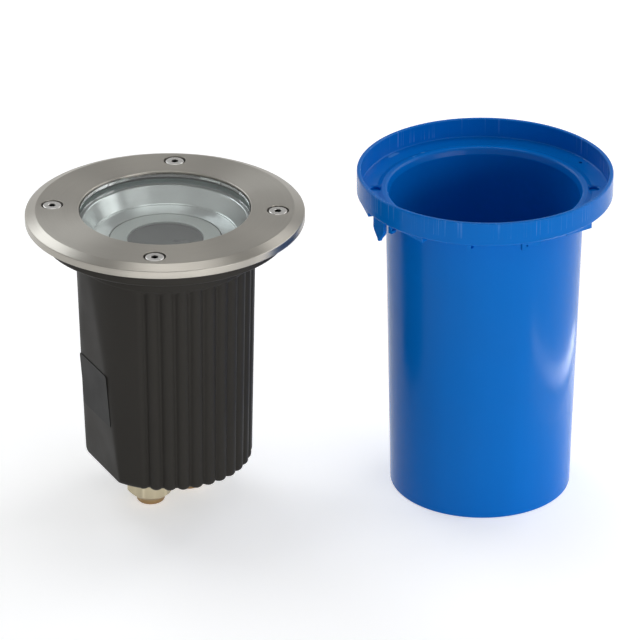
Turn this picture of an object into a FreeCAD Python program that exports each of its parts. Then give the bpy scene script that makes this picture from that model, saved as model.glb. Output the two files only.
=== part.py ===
import FreeCAD, Part
import math
import os

# In-ground well light with its installation sleeve standing beside it. Millimetres, +Z up.
# Both stand on the ground at z = 0, the light on its two cable glands, and the origin is at the
# centre of the footprint of the pair.

V = FreeCAD.Vector

# Clearances and fits
RUN_GAP = 0.3              # between round faces of pieces that move against each other
FIT_GAP = 0.1              # round a fixed piece in its own hole or groove
OVERCUT = 1.0              # how far a tool runs past the faces that it cuts
TINY = 1e-6

# Placing of the pair
SPACING_X = 143.0          # from the light's axis to the sleeve's
SPACING_Y = 15.5
FACET_AZIMUTH = 207.3      # direction that the label facet faces
GLAND_AZIMUTH = 221.4      # direction from the axis to the front gland
GLAND_HEX_AZIMUTH = 13.5   # direction of a corner of the glands' hexagons

# Trim ring and its screws
RING_THICK = 5.2
RING_COVER = 7.2           # ring outside the housing's flange
RING_REBATE = 0.5          # recess under the ring that locates it on the flange
RING_BEVEL_WIDE = 4.7
RING_BEVEL_HIGH = 1.8
RING_ROUND = 0.6
RING_UNDER_ROUND = 0.3
OPENING_D = 76.8
OPENING_ROUND = 0.4
SCREW_WALL = 3.9           # casting between the glass recess and a screw hole
SCREW_COUNT = 4
SCREW_FIRST_ANGLE = -3.3
SCREW_D = 5.0
SCREW_TIP_ROUND = 0.5
SCREW_HOLE_D = 5.6
SCREW_HEAD_D = 8.4
SCREW_HEAD_HIGH = 2.6
SCREW_HEAD_ROUND = 0.5
SCREW_LENGTH = 8.0
COUNTERBORE_D = 9.9
COUNTERBORE_DEEP = 2.8
SOCKET_ACROSS = 3.0
SOCKET_DEEP = 1.7

# Glass and its gasket
GLASS_THICK = 8.0
GLASS_DROP = 1.0           # top of the glass below the top of the ring
GLASS_FLANGE_WIDE = 4.1    # glass under the ring, outside its opening
GLASS_EDGE_ROUND = 0.3
GASKET_LIP = 0.5           # gasket between the glass flange and the ring
GASKET_BED = 3.0           # gasket between the glass and the housing's shoulder
GASKET_BED_WIDE = 4.5
GASKET_SIDE = 1.0
GASKET_ROUND = 0.4

# Housing
FLANGE_MARGIN = 4.8        # flange outside the circle of screws
FLANGE_THICK = 7.4
FLANGE_ROUND = 1.2
FLANGE_TOP_ROUND = 0.3
NECK_FILLET = 4.5
NECK_PROUD = 0.15          # plain neck outside the tops of the reeds
NECK_LONG = 10.0           # plain neck below the flange
NECK_RUNOUT = 3.4          # slope on which the grooves run out under the neck
NECK_ROUND = 1.0
BODY_OVER_MOUTH = 3.7      # casting outside the reflector's mouth, over the reeds
BODY_DRAFT = 2.2           # how much narrower the barrel is at its foot, in radius
BODY_BOTTOM_ROUND = 3.0
REED_END_ROUND = 2.4       # round foot of each reed
WALL = 2.6
FLOOR_THICK = 4.0
FLOOR_ROUND = 3.0
REED_PITCH = 10.0          # degrees
REED_DEEP = 1.25
REED_GROOVE = 1.1          # degrees, half the width of the groove between two reeds
REED_GROOVE_DIP = 0.25
REED_SPLIT = 0.1           # degrees between two reeds where they are rooted in the barrel
SMOOTH_HALF = 50.0         # degrees of plain wall each side of the facet's middle
FACET_DEEP = 4.8           # cut of the facet into the barrel's foot
FACET_FADE = 1.2           # facet fades out this far below the neck

# Rating label on the facet
LABEL_WIDE = 28.0
LABEL_HIGH = 26.5
LABEL_THICK = 0.3
LABEL_ROUND = 1.5
LABEL_UP = 41.0            # middle of the label above the foot of the barrel

# Reflector, a pressed sheet
REFLECTOR_SHEET = 0.8
REFLECTOR_FLANGE_WIDE = 2.2
REFLECTOR_FLARE = 3.8      # how far the steep wall spreads from the step to the mouth
REFLECTOR_STEP_DEEP = 7.4
REFLECTOR_STEP_WIDE = 0.7
REFLECTOR_CONE_DEEP = 1.5
REFLECTOR_ROUND = 0.5
REFLECTOR_SEAT_DEEP = 3.0  # counterbore in the housing round the reflector's mouth

# Lamp
LAMP_D = 50.0
LAMP_GAP = 0.4
LAMP_LONG = 50.0           # front face to the bottom of the base
LAMP_RIM_HIGH = 3.0
LAMP_RIM_ROUND = 2.0
LAMP_EDGE_ROUND = 0.5
LAMP_LENS_D = 34.0
LAMP_LENS_DROP = 0.9
LAMP_LENS_THICK = 1.2
LAMP_LENS_ROUND = 0.3
LAMP_WAIST_D = 29.0
LAMP_WAIST_DROP = 37.0     # front face to the waist
LAMP_WAIST_ROUND = 1.0
LAMP_NECK_HIGH = 5.0       # short cylinder above the waist, before the cup spreads
LAMP_NECK_FLARE = 1.5
LAMP_NECK_ROUND = 6.0
LAMP_BASE_D = 23.0
LAMP_BASE_INSET = 0.5
LAMP_BASE_SHOULDER = 3.0
LAMP_BASE_ROUND = 0.8
PIN_D = 5.0
PIN_NECK_D = 3.3
PIN_LONG = 5.5
PIN_ROUND = 0.5
PIN_SPACING = 10.0
LAMP_TWIST = 30.0          # degrees from locked to released

# Lampholder, its bracket and their screws
HOLDER_HEAD_D = 19.6
HOLDER_HEAD_HIGH = 6.4
HOLDER_WIDE = 18.0
HOLDER_LONG = 36.0
HOLDER_BASE_HIGH = 6.0
HOLDER_PIN_ROOM = 0.5      # under the pins
HOLDER_SCREW_INSET = 4.0
HOLDER_SCREW_D = 3.0
HOLDER_SCREW_LONG = 8.4
SMALL_HEAD_D = 5.0
SMALL_HEAD_HIGH = 1.6
SMALL_HEAD_ROUND = 0.8
BRACKET_SHEET = 1.5
BRACKET_WIDE = 18.0
BRACKET_SPAN = 56.0
BRACKET_BEND = 2.0
BRACKET_FOOT = 9.0
FOOT_BOSS_D = 7.0
FOOT_BOSS_HIGH = 3.0
FOOT_SCREW_INSET = 5.0
FOOT_SCREW_LONG = 4.5

# Terminal block and leads
BLOCK_WIDE = 16.0
BLOCK_LONG = 22.0
BLOCK_HIGH = 12.0
WIRING_ROOM = 15.7         # between the glands' threads and the terminal block
POLE_PITCH = 7.0
POLE_COUNT = 3
BARREL_D = 4.4
BARREL_MOUTH = 1.0         # barrel ends inside the block's faces
CLAMP_SCREW_D = 2.4
CLAMP_SCREW_LONG = 3.2
CLAMP_SCREW_SPACING = 8.0
BLOCK_SCREW_HEAD_D = 4.0
BLOCK_SCREW_ROUND = 0.6
LEAD_D = 2.0
LEAD_REACH = 8.5           # how far the leads stand out from the holder's side
LEAD_BEND = 3.8
LEAD_IN_BARREL = 3.0

# Earth point
EARTH_WALL_GAP = 2.2       # between its boss and the housing's wall
EARTH_BOSS_D = 8.0
EARTH_BOSS_HIGH = 11.0
EARTH_SCREW_D = 4.0
EARTH_HEAD_D = 7.0
EARTH_HEAD_HIGH = 2.4
EARTH_HEAD_ROUND = 1.0
EARTH_SCREW_LONG = 7.0
LUG_THICK = 0.8
LUG_WALL = 0.5
LUG_CRIMP_LONG = 4.0
EARTH_LEAD_RUN = 7.0       # last level run of the lead, into the lug
EARTH_LEAD_BEND = 3.1

# Cable glands
GLAND_THREAD_D = 16.0
GLAND_ABOVE_FLOOR = 8.0
GLAND_HEX = 19.0
GLAND_FLANGE_HIGH = 4.0
GLAND_WASHER = 1.0
GLAND_WASHER_WALL = 1.4
GLAND_BORE_D = 9.2
GLAND_SPIGOT_D = 14.0
GLAND_SPIGOT_LONG = 10.2
SEAL_WALL = 2.1
SEAL_BORE_D = 6.8
SEAL_PROUD = 0.2
NUT_DOME_D = 13.0
NUT_DOME_LONG = 3.0
NUT_DOME_ROUND = 1.5
NUT_FLOOR = 1.3            # from the foot of the hexagon up to the nut's seat
NUT_FACE_WIDE = 0.6
NUT_SHOULDER = 2.1
NUT_BORE_D = 8.4
LOCKNUT_HEX = 21.0
LOCKNUT_HIGH = 4.0
LOCKNUT_GAP = 0.7          # from a locknut's flat to the housing's axis
HEX_CHAMFER_ANGLE = 30.0   # round chamfer on both ends of every hexagon

# Installation sleeve
SLEEVE_BELOW = 16.7        # sleeve deeper than the light under its trim ring
SLEEVE_WALL = 1.9
SLEEVE_ROOM = 2.5          # inside the sleeve's tube, round the top of the barrel
SLEEVE_TAPER = 3.2
SLEEVE_FOOT_ROUND = 0.6
SLEEVE_NECK_ROUND = 1.0
RIM_UNDER_ROUND = 1.2
RIM_TOP_ROUND = 0.6
RIM_INNER_ROUND = 0.5
LEDGE_GAP = 1.6            # under the light's flange
LEDGE_THICK = 2.0
LEDGE_SHELF = 2.0
LEDGE_FALL = 0.2
LEDGE_CORNER_ROUND = 0.6
LEDGE_SHELF_ROUND = 0.8
LEDGE_DISH = 0.6
LEDGE_DISH_ROUND = 1.5
LIP_FLARE = 1.1
LIP_WIDE = 2.4
LIP_ROUND = 1.3
THROAT_DROP = 1.0
THROAT_ROUND = 2.0
FIXING_INSET = 2.8         # fixing holes outside the lip
FIXING_HOLE_D = 4.5
DRAIN_INSET = 3.3          # drain holes inside the rim's wall
DRAIN_D = 1.6
DRAIN_AZIMUTH = 32.0
UNDER_RIM_INSET = 0.8      # features under the rim stand this far inside its outer face
RAMP_START = 0.3
RAMP_DEEP = 2.2
RAMP_WIDE = 5.0
RAMPS = ((192.0, 203.0), (229.5, 239.5), (285.0, 294.0), (307.0, 324.0))
TONGUE_AZIMUTH = 212.0
TONGUE_WIDE = 8.6
TONGUE_LONG = 9.0
TONGUE_TIP = 1.2
TONGUE_ROUND = 1.5
TONGUE_THICK = 1.8
HOOKS = (220.5, 261.0, 286.0)
HOOK_WIDE = 2.0
HOOK_LONG = 3.4
HOOK_DEEP = 2.4

# Radii, worked outwards from the ring's opening and inwards to the reflector
GLASS_FLANGE_R = OPENING_D / 2 + GLASS_FLANGE_WIDE
GASKET_OUTER_R = GLASS_FLANGE_R + GASKET_SIDE
GASKET_INNER_R = GASKET_OUTER_R - GASKET_BED_WIDE
RECESS_R = GASKET_OUTER_R + RUN_GAP
SCREW_PCD = 2 * (RECESS_R + SCREW_WALL) + SCREW_HOLE_D
FLANGE_R = SCREW_PCD / 2 + FLANGE_MARGIN
RING_R = FLANGE_R + RING_COVER
REFLECTOR_RIM_R = GASKET_INNER_R - RUN_GAP
REFLECTOR_MOUTH_R = REFLECTOR_RIM_R - REFLECTOR_FLANGE_WIDE
REFLECTOR_STEP_R = REFLECTOR_MOUTH_R - REFLECTOR_FLARE
BODY_TOP_R = REFLECTOR_MOUTH_R + BODY_OVER_MOUTH
BODY_BOTTOM_R = BODY_TOP_R - BODY_DRAFT
SLEEVE_TOP_R = BODY_TOP_R + SLEEVE_ROOM + SLEEVE_WALL
SLEEVE_BASE_R = SLEEVE_TOP_R - SLEEVE_TAPER
LIP_R = SLEEVE_TOP_R - SLEEVE_WALL + LIP_FLARE
RIM_R = FLANGE_R + RUN_GAP + SLEEVE_WALL
FIXING_R = LIP_R + LIP_WIDE + FIXING_INSET
DRAIN_R = RIM_R - SLEEVE_WALL - DRAIN_INSET
GLAND_OFFSET = LOCKNUT_HEX / 2 + LOCKNUT_GAP

# Axes of the two pieces, placed so that the footprint is centred on the origin
SPACING = V(SPACING_X, SPACING_Y, 0)
SLEEVE_AT = (SPACING + V(RING_R - RIM_R, RING_R - RIM_R, 0)) * 0.5
LIGHT_AT = SLEEVE_AT - SPACING

# Levels, worked up from the ground
NUT_SEAT = NUT_DOME_LONG + NUT_FLOOR
SEAL_END = NUT_SEAT + RUN_GAP
SPIGOT_END = SEAL_END + SEAL_PROUD
GLAND_FLANGE_UNDER = SPIGOT_END + GLAND_SPIGOT_LONG
NUT_TOP = GLAND_FLANGE_UNDER - RUN_GAP
GLAND_FLANGE_TOP = GLAND_FLANGE_UNDER + GLAND_FLANGE_HIGH
BODY_BOTTOM_Z = GLAND_FLANGE_TOP + GLAND_WASHER
FLOOR = BODY_BOTTOM_Z + FLOOR_THICK
GLAND_TOP = FLOOR + GLAND_ABOVE_FLOOR
BOSS_TOP = FLOOR + FOOT_BOSS_HIGH
EARTH_SEAT = FLOOR + EARTH_BOSS_HIGH
BLOCK_UNDER = GLAND_TOP + WIRING_ROOM
BARREL_Z = BLOCK_UNDER + BLOCK_HIGH / 2
BLOCK_TOP = BLOCK_UNDER + BLOCK_HIGH
BRACKET_TOP = BLOCK_TOP + BRACKET_SHEET
LEAD_TOP = BRACKET_TOP + HOLDER_BASE_HIGH / 2
HOLDER_BASE_TOP = BRACKET_TOP + HOLDER_BASE_HIGH
HOLDER_TOP = HOLDER_BASE_TOP + HOLDER_HEAD_HIGH
LAMP_FOOT = HOLDER_TOP + RUN_GAP
PIN_END = LAMP_FOOT - PIN_LONG
LAMP_FACE = LAMP_FOOT + LAMP_LONG
LAMP_WAIST = LAMP_FACE - LAMP_WAIST_DROP
REFLECTOR_STEP = LAMP_FACE + REFLECTOR_CONE_DEEP
REFLECTOR_TOP = REFLECTOR_STEP + REFLECTOR_STEP_DEEP
SHOULDER = REFLECTOR_TOP - REFLECTOR_SHEET
GLASS_UNDER = SHOULDER + GASKET_BED
GLASS_TOP = GLASS_UNDER + GLASS_THICK
RING_TOP = GLASS_TOP + GLASS_DROP
RING_UNDER = RING_TOP - RING_THICK
RING_SEAT = RING_UNDER + RING_REBATE
SCREW_SEAT = RING_TOP - COUNTERBORE_DEEP
GLASS_FLANGE_TOP = RING_SEAT - GASKET_LIP
FLANGE_UNDER = RING_UNDER - FLANGE_THICK
NECK_BOTTOM = FLANGE_UNDER - NECK_LONG
FACET_TOP_Z = NECK_BOTTOM - FACET_FADE
LABEL_MID_Z = BODY_BOTTOM_Z + LABEL_UP
SLEEVE_HEIGHT = RING_UNDER + SLEEVE_BELOW
LEDGE = SLEEVE_HEIGHT - FLANGE_THICK - LEDGE_GAP
LEDGE_UNDER = LEDGE - LEDGE_THICK


def outline(corners):
    """Closed wire in the XZ plane through (x, z) or (x, z, corner radius) points."""
    stations = []
    for index, corner in enumerate(corners):
        here = V(corner[0], 0, corner[1])
        before = corners[index - 1]
        after = corners[(index + 1) % len(corners)]
        if len(corner) == 2:
            stations.append((here, None, here))
            continue
        back = (V(before[0], 0, before[1]) - here).normalize()
        ahead = (V(after[0], 0, after[1]) - here).normalize()
        half = back.getAngle(ahead) / 2
        middle = (back + ahead).normalize()
        reach = corner[2] / math.tan(half)
        crown = here + middle * (corner[2] / math.sin(half) - corner[2])
        stations.append((here + back * reach, crown, here + ahead * reach))
    edges = []
    for index, (start, crown, end) in enumerate(stations):
        last = stations[index - 1][2]
        if last.distanceToPoint(start) > TINY:
            edges.append(Part.makeLine(last, start))
        if crown is not None:
            edges.append(Part.Arc(start, crown, end).toShape())
    return Part.Wire(edges)


def turned(corners, angle=360):
    """Solid of revolution about Z from a profile of (radius, z) corners."""
    return Part.Face(outline(corners)).revolve(V(0, 0, 0), V(0, 0, 1), angle)


def disc(radius, low, high, x=0, y=0):
    """Upright cylinder between two levels."""
    return Part.makeCylinder(radius, high - low, V(x, y, low))


def tube(outer, inner, low, high, x=0, y=0):
    """Upright tube between two levels."""
    return disc(outer, low, high, x, y).cut(disc(inner, low, high, x, y))


def block(size, low, x=0, y=0):
    """Upright block of (x, y, z) size, centred on x and y, standing on a level."""
    return Part.makeBox(size[0], size[1], size[2], V(x - size[0] / 2, y - size[1] / 2, low))


def lying(radius, start, end, y, z):
    """Cylinder along X."""
    return Part.makeCylinder(radius, end - start, V(start, y, z), V(1, 0, 0))


def spun(shape, angle, x=0, y=0):
    """Copy turned about a vertical line."""
    copy = shape.copy()
    copy.rotate(V(x, y, 0), V(0, 0, 1), angle)
    return copy


def moved(shape, x, y, z=0):
    """Copy shifted."""
    copy = shape.copy()
    copy.translate(V(x, y, z))
    return copy


def at_angles(shape, angles):
    """Copies of a shape turned about the origin."""
    return [spun(shape, angle) for angle in angles]


def hexagon(across, low, high):
    """Hexagonal prism with a corner on +X and both ends chamfered round."""
    corner = across / math.sqrt(3)
    points = [V(corner * math.cos(math.radians(60 * i)), corner * math.sin(math.radians(60 * i)), low)
              for i in range(7)]
    prism = Part.Face(Part.makePolygon(points)).extrude(V(0, 0, high - low))
    flat = across / 2
    rim = corner + OVERCUT
    slope = (rim - flat) * math.tan(math.radians(HEX_CHAMFER_ANGLE))
    envelope = turned([(0, low), (flat, low), (rim, low + slope), (rim, high - slope), (flat, high),
                       (0, high)])
    return prism.common(envelope)


def bent_rod(points, radius, bend):
    """Round rod along straight runs in the XZ plane, joined by arcs of one radius."""
    edges = []
    start = points[0]
    for index in range(1, len(points) - 1):
        here = points[index]
        back = (points[index - 1] - here).normalize()
        ahead = (points[index + 1] - here).normalize()
        half = back.getAngle(ahead) / 2
        reach = bend / math.tan(half)
        middle = (back + ahead).normalize()
        crown = here + middle * (bend / math.sin(half) - bend)
        edges.append(Part.makeLine(start, here + back * reach))
        edges.append(Part.Arc(here + back * reach, crown, here + ahead * reach).toShape())
        start = here + ahead * reach
    edges.append(Part.makeLine(start, points[-1]))
    path = Part.Wire(edges)
    direction = (points[1] - points[0]).normalize()
    section = Part.Wire([Part.Circle(points[0], direction, radius).toShape()])
    return path.makePipeShell([section], True, False)


def body_radius(z):
    """Radius over the reeds at a level, following the casting's draft."""
    share = (z - BODY_BOTTOM_Z) / (NECK_BOTTOM - BODY_BOTTOM_Z)
    return BODY_BOTTOM_R + (BODY_TOP_R - BODY_BOTTOM_R) * share


def facet_distance(z):
    """Distance from the axis to the facet's plane at a level."""
    foot = BODY_BOTTOM_R - FACET_DEEP
    share = (z - BODY_BOTTOM_Z) / (FACET_TOP_Z - BODY_BOTTOM_Z)
    return foot + (body_radius(FACET_TOP_Z) - foot) * share


def facet_tilt():
    """Lean of the facet's plane from the vertical, in degrees."""
    spread = facet_distance(FACET_TOP_Z) - facet_distance(BODY_BOTTOM_Z)
    return math.degrees(math.atan2(spread, FACET_TOP_Z - BODY_BOTTOM_Z))


def beyond_facet(inset=0):
    """Everything outside the facet's plane, or outside one set in by a wall."""
    size = 4 * BODY_TOP_R
    slab = Part.makeBox(size, size, 2 * size, V(0, -size / 2, -size))
    slab.rotate(V(0, 0, 0), V(0, 1, 0), facet_tilt())
    return moved(slab, facet_distance(BODY_BOTTOM_Z) - inset, 0, BODY_BOTTOM_Z)


def polar(radius, degrees, z):
    """Point from a radius, an angle and a level."""
    return V(radius * math.cos(math.radians(degrees)), radius * math.sin(math.radians(degrees)), z)


def sector(radius, first, last, low, high):
    """Upright slice of a disc between two angles under a half turn apart."""
    reach = 2 * radius
    corners = [V(0, 0, low), polar(reach, first, low), polar(reach, last, low), V(0, 0, low)]
    return Part.Face(Part.makePolygon(corners)).extrude(V(0, 0, high - low))


def drafted(inset, high):
    """Round barrel with the casting's draft and a rounded foot, set in from the tops of the reeds."""
    return turned([(0, BODY_BOTTOM_Z), (body_radius(BODY_BOTTOM_Z) - inset, BODY_BOTTOM_Z, BODY_BOTTOM_ROUND),
                   (body_radius(high) - inset, high), (0, high)])


def reed_radius():
    """Radius of a reed's round back, from its width and depth at the top of the barrel."""
    open_half = math.radians(REED_PITCH / 2 - REED_GROOVE)
    valley = BODY_TOP_R - REED_DEEP
    half = valley * math.sin(open_half)
    rise = BODY_TOP_R - valley * math.cos(open_half)
    return (half * half + rise * rise) / (2 * rise)


def reed(low, high, keep):
    """One convex reed on +X: a leaning round-footed rod, kept to an angle each side of its middle."""
    back = reed_radius()
    lean = math.atan2(body_radius(high) - body_radius(low), high - low)
    rod = turned([(0, 0), (back, 0, REED_END_ROUND), (back, high - low + OVERCUT), (0, high - low + OVERCUT)])
    rod.rotate(V(0, 0, 0), V(0, 1, 0), math.degrees(lean))
    return moved(rod, body_radius(low) - back, 0, low).common(sector(BODY_TOP_R, -keep, keep, low, high))


def reeded_wall():
    """Drafted reeded barrel with its rounded foot and the flat label facet."""
    high = NECK_BOTTOM + NECK_LONG / 2
    count = round((360 - 2 * SMOOTH_HALF) / REED_PITCH)
    pitch = (360 - 2 * SMOOTH_HALF) / count
    smooth = SMOOTH_HALF - pitch / 2
    plain = drafted(0, high).common(sector(BODY_TOP_R, -smooth, smooth, BODY_BOTTOM_Z, high))
    back = reed(BODY_BOTTOM_Z, high, pitch / 2 - REED_SPLIT)
    reeds = at_angles(back, [smooth + i * pitch for i in range(count + 2)])
    barrel = drafted(REED_DEEP + REED_GROOVE_DIP, high).fuse([plain] + reeds)
    return barrel.cut(beyond_facet())


def flange_and_neck():
    """Flange that carries the trim ring, with the concave neck under it."""
    neck = body_radius(NECK_BOTTOM) + NECK_PROUD
    inner = neck - REED_DEEP - 2 * REED_GROOVE_DIP - OVERCUT
    runout = NECK_BOTTOM - NECK_RUNOUT
    return turned([
        (inner, runout), (neck, NECK_BOTTOM, NECK_ROUND), (neck, FLANGE_UNDER, NECK_FILLET),
        (FLANGE_R, FLANGE_UNDER, FLANGE_ROUND), (FLANGE_R, RING_SEAT, FLANGE_TOP_ROUND), (inner, RING_SEAT)])


def chamber_radius(z):
    """Radius inside the barrel's wall at a level."""
    return body_radius(z) - REED_DEEP - WALL


def reflector_outside(z):
    """Radius of the outer face of the reflector's steep wall at a level."""
    spread = REFLECTOR_FLARE / REFLECTOR_STEP_DEEP
    return REFLECTOR_STEP_R + spread * (z - REFLECTOR_STEP) + REFLECTOR_SHEET * math.hypot(1, spread)


def housing_hollow():
    """Space inside the housing: glass recess, shoulder, reflector's seat and lamp chamber."""
    high = SHOULDER + OVERCUT
    chamber = turned([(0, FLOOR), (chamber_radius(FLOOR), FLOOR, FLOOR_ROUND),
                      (chamber_radius(NECK_BOTTOM), high), (0, high)])
    seat = disc(reflector_outside(SHOULDER) + RUN_GAP, SHOULDER - REFLECTOR_SEAT_DEEP, high)
    recess = disc(RECESS_R, SHOULDER, RING_SEAT + OVERCUT)
    return chamber.cut(beyond_facet(WALL)).fuse([seat, recess])


def foot_screw_places():
    """Places of the bracket's two foot screws across the housing."""
    out = BRACKET_SPAN / 2 - FOOT_SCREW_INSET
    return (-out, out)


def earth_out():
    """Distance of the earth point from the housing's axis."""
    return chamber_radius(FLOOR) - EARTH_WALL_GAP - EARTH_BOSS_D / 2


def screw_places():
    """Angles of the trim screws."""
    return [SCREW_FIRST_ANGLE + i * 360 / SCREW_COUNT for i in range(SCREW_COUNT)]


def gland_places():
    """Points of the two glands from the facet's direction: front, rear."""
    return [polar(out, GLAND_AZIMUTH - FACET_AZIMUTH, 0) for out in (GLAND_OFFSET, -GLAND_OFFSET)]


def housing():
    """Die-cast housing. Built with the facet on +X and turned to its direction."""
    casting = reeded_wall().fuse(flange_and_neck()).cut(housing_hollow())
    bosses = [disc(FOOT_BOSS_D / 2, FLOOR - OVERCUT, BOSS_TOP, 0, y) for y in foot_screw_places()]
    bosses.append(disc(EARTH_BOSS_D / 2, FLOOR - OVERCUT, EARTH_SEAT, -earth_out(), 0))
    casting = casting.fuse(bosses)
    foot_hole = HOLDER_SCREW_D / 2 + FIT_GAP
    foot_end = BOSS_TOP + BRACKET_SHEET - FOOT_SCREW_LONG - RUN_GAP
    holes = [disc(foot_hole, foot_end, BOSS_TOP, 0, y) for y in foot_screw_places()]
    earth_end = EARTH_SEAT + LUG_THICK - EARTH_SCREW_LONG - RUN_GAP
    holes.append(disc(EARTH_SCREW_D / 2 + FIT_GAP, earth_end, EARTH_SEAT, -earth_out(), 0))
    thread = GLAND_THREAD_D / 2 + FIT_GAP
    holes += [disc(thread, BODY_BOTTOM_Z - OVERCUT, FLOOR + OVERCUT, at.x, at.y) for at in gland_places()]
    casting = spun(casting.cut(holes), FACET_AZIMUTH)
    screw_end = SCREW_SEAT - SCREW_LENGTH - RUN_GAP
    tapped = disc(SCREW_HOLE_D / 2, screw_end, RING_SEAT + OVERCUT, SCREW_PCD / 2)
    return casting.cut(at_angles(tapped, screw_places())).removeSplitter()


def rating_label():
    """Thin label lying on the facet, with rounded corners."""
    wide = LABEL_WIDE / 2
    high = LABEL_HIGH / 2
    corners = [(wide, -high, LABEL_ROUND), (wide, high, LABEL_ROUND),
               (-wide, high, LABEL_ROUND), (-wide, -high, LABEL_ROUND)]
    plate = Part.Face(outline(corners)).extrude(V(0, LABEL_THICK, 0))
    plate.rotate(V(0, 0, 0), V(0, 0, 1), -90)
    plate.rotate(V(0, 0, 0), V(0, 1, 0), facet_tilt())
    return spun(moved(plate, facet_distance(LABEL_MID_Z), 0, LABEL_MID_Z), FACET_AZIMUTH)


def trim_ring():
    """Bevelled ring with four counterbored holes, rebated underneath to sit on the flange."""
    opening = OPENING_D / 2
    rebate = FLANGE_R + FIT_GAP
    ring = turned([
        (opening, RING_SEAT), (rebate, RING_SEAT), (rebate, RING_UNDER),
        (RING_R, RING_UNDER, RING_UNDER_ROUND), (RING_R, RING_TOP - RING_BEVEL_HIGH, RING_ROUND),
        (RING_R - RING_BEVEL_WIDE, RING_TOP, RING_ROUND), (opening, RING_TOP, OPENING_ROUND)])
    hole = disc(SCREW_HOLE_D / 2, RING_UNDER, RING_TOP, SCREW_PCD / 2)
    counterbore = disc(COUNTERBORE_D / 2, SCREW_SEAT, RING_TOP + OVERCUT, SCREW_PCD / 2)
    return ring.cut(at_angles(hole.fuse(counterbore), screw_places()))


def trim_screws():
    """Four captive socket screws, standing in the ring's counterbores."""
    top = SCREW_SEAT + SCREW_HEAD_HIGH
    end = SCREW_SEAT - SCREW_LENGTH
    shank = SCREW_D / 2
    head = SCREW_HEAD_D / 2
    screw = turned([(0, end), (shank, end, SCREW_TIP_ROUND), (shank, SCREW_SEAT), (head, SCREW_SEAT),
                    (head, top, SCREW_HEAD_ROUND), (0, top)])
    corner = SOCKET_ACROSS / math.sqrt(3)
    points = [polar(corner, 60 * i, top - SOCKET_DEEP) for i in range(7)]
    socket = Part.Face(Part.makePolygon(points)).extrude(V(0, 0, SOCKET_DEEP + OVERCUT))
    return Part.Compound(at_angles(moved(screw.cut(socket), SCREW_PCD / 2, 0), screw_places()))


def glass_lens():
    """Stepped glass: a flange under the ring and a centre that fills its opening."""
    centre = OPENING_D / 2 - RUN_GAP
    return turned([
        (0, GLASS_UNDER), (GLASS_FLANGE_R, GLASS_UNDER, GLASS_EDGE_ROUND),
        (GLASS_FLANGE_R, GLASS_FLANGE_TOP, GLASS_EDGE_ROUND), (centre, GLASS_FLANGE_TOP),
        (centre, GLASS_TOP, GLASS_EDGE_ROUND), (0, GLASS_TOP)])


def lens_gasket():
    """U-section silicone ring round the glass flange."""
    flange = GLASS_FLANGE_R + FIT_GAP
    lip = OPENING_D / 2
    return turned([
        (GASKET_INNER_R, SHOULDER), (GASKET_OUTER_R, SHOULDER, GASKET_ROUND), (GASKET_OUTER_R, RING_SEAT),
        (lip, RING_SEAT), (lip, GLASS_FLANGE_TOP), (flange, GLASS_FLANGE_TOP), (flange, GLASS_UNDER),
        (GASKET_INNER_R, GLASS_UNDER)])


def reflector():
    """Pressed stepped reflector that hangs by its flange on the housing's shoulder."""
    ring = REFLECTOR_STEP_R - REFLECTOR_STEP_WIDE
    hole = LAMP_D / 2 + LAMP_GAP
    cone = REFLECTOR_STEP - REFLECTOR_SHEET / 2
    under = cone - REFLECTOR_SHEET
    return turned([
        (REFLECTOR_RIM_R, SHOULDER), (REFLECTOR_RIM_R, REFLECTOR_TOP),
        (REFLECTOR_MOUTH_R, REFLECTOR_TOP, REFLECTOR_ROUND), (REFLECTOR_STEP_R, REFLECTOR_STEP),
        (ring, REFLECTOR_STEP), (ring, cone), (hole, LAMP_FACE), (hole, LAMP_FACE - REFLECTOR_SHEET),
        (ring, under), (reflector_outside(under), under), (reflector_outside(SHOULDER), SHOULDER)])


def lamp_shell():
    """Lamp body: flat front ring round the lens recess, and a cup that narrows to the waist."""
    rim = LAMP_D / 2
    lens = LAMP_LENS_D / 2 + FIT_GAP
    waist = LAMP_WAIST_D / 2
    recess = LAMP_FACE - LAMP_LENS_DROP - LAMP_LENS_THICK
    return turned([
        (0, LAMP_WAIST), (waist, LAMP_WAIST, LAMP_WAIST_ROUND),
        (waist + LAMP_NECK_FLARE, LAMP_WAIST + LAMP_NECK_HIGH, LAMP_NECK_ROUND),
        (rim, LAMP_FACE - LAMP_RIM_HIGH, LAMP_RIM_ROUND), (rim, LAMP_FACE, LAMP_EDGE_ROUND),
        (lens, LAMP_FACE, LAMP_LENS_ROUND), (lens, recess), (0, recess)])


def lamp_lens():
    """Round lens in the lamp's front."""
    top = LAMP_FACE - LAMP_LENS_DROP
    return disc(LAMP_LENS_D / 2, top - LAMP_LENS_THICK, top)


def lamp_base():
    """Cylindrical lamp base below the waist."""
    foot = LAMP_BASE_D / 2
    top = LAMP_WAIST_D / 2 - LAMP_BASE_INSET
    return turned([
        (0, LAMP_FOOT), (foot, LAMP_FOOT, LAMP_BASE_ROUND),
        (foot, LAMP_WAIST - LAMP_BASE_SHOULDER, LAMP_BASE_ROUND),
        (top, LAMP_WAIST, LAMP_EDGE_ROUND), (0, LAMP_WAIST)])


def lamp_pins():
    """Two twist-lock pins."""
    foot = PIN_D / 2
    neck = PIN_NECK_D / 2
    middle = PIN_END + PIN_LONG / 2
    pin = turned([(0, PIN_END), (foot, PIN_END, PIN_ROUND), (foot, middle), (neck, middle), (neck, LAMP_FOOT),
                  (0, LAMP_FOOT)])
    return Part.Compound([moved(pin, 0, side * PIN_SPACING / 2) for side in (-1, 1)])


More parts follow.
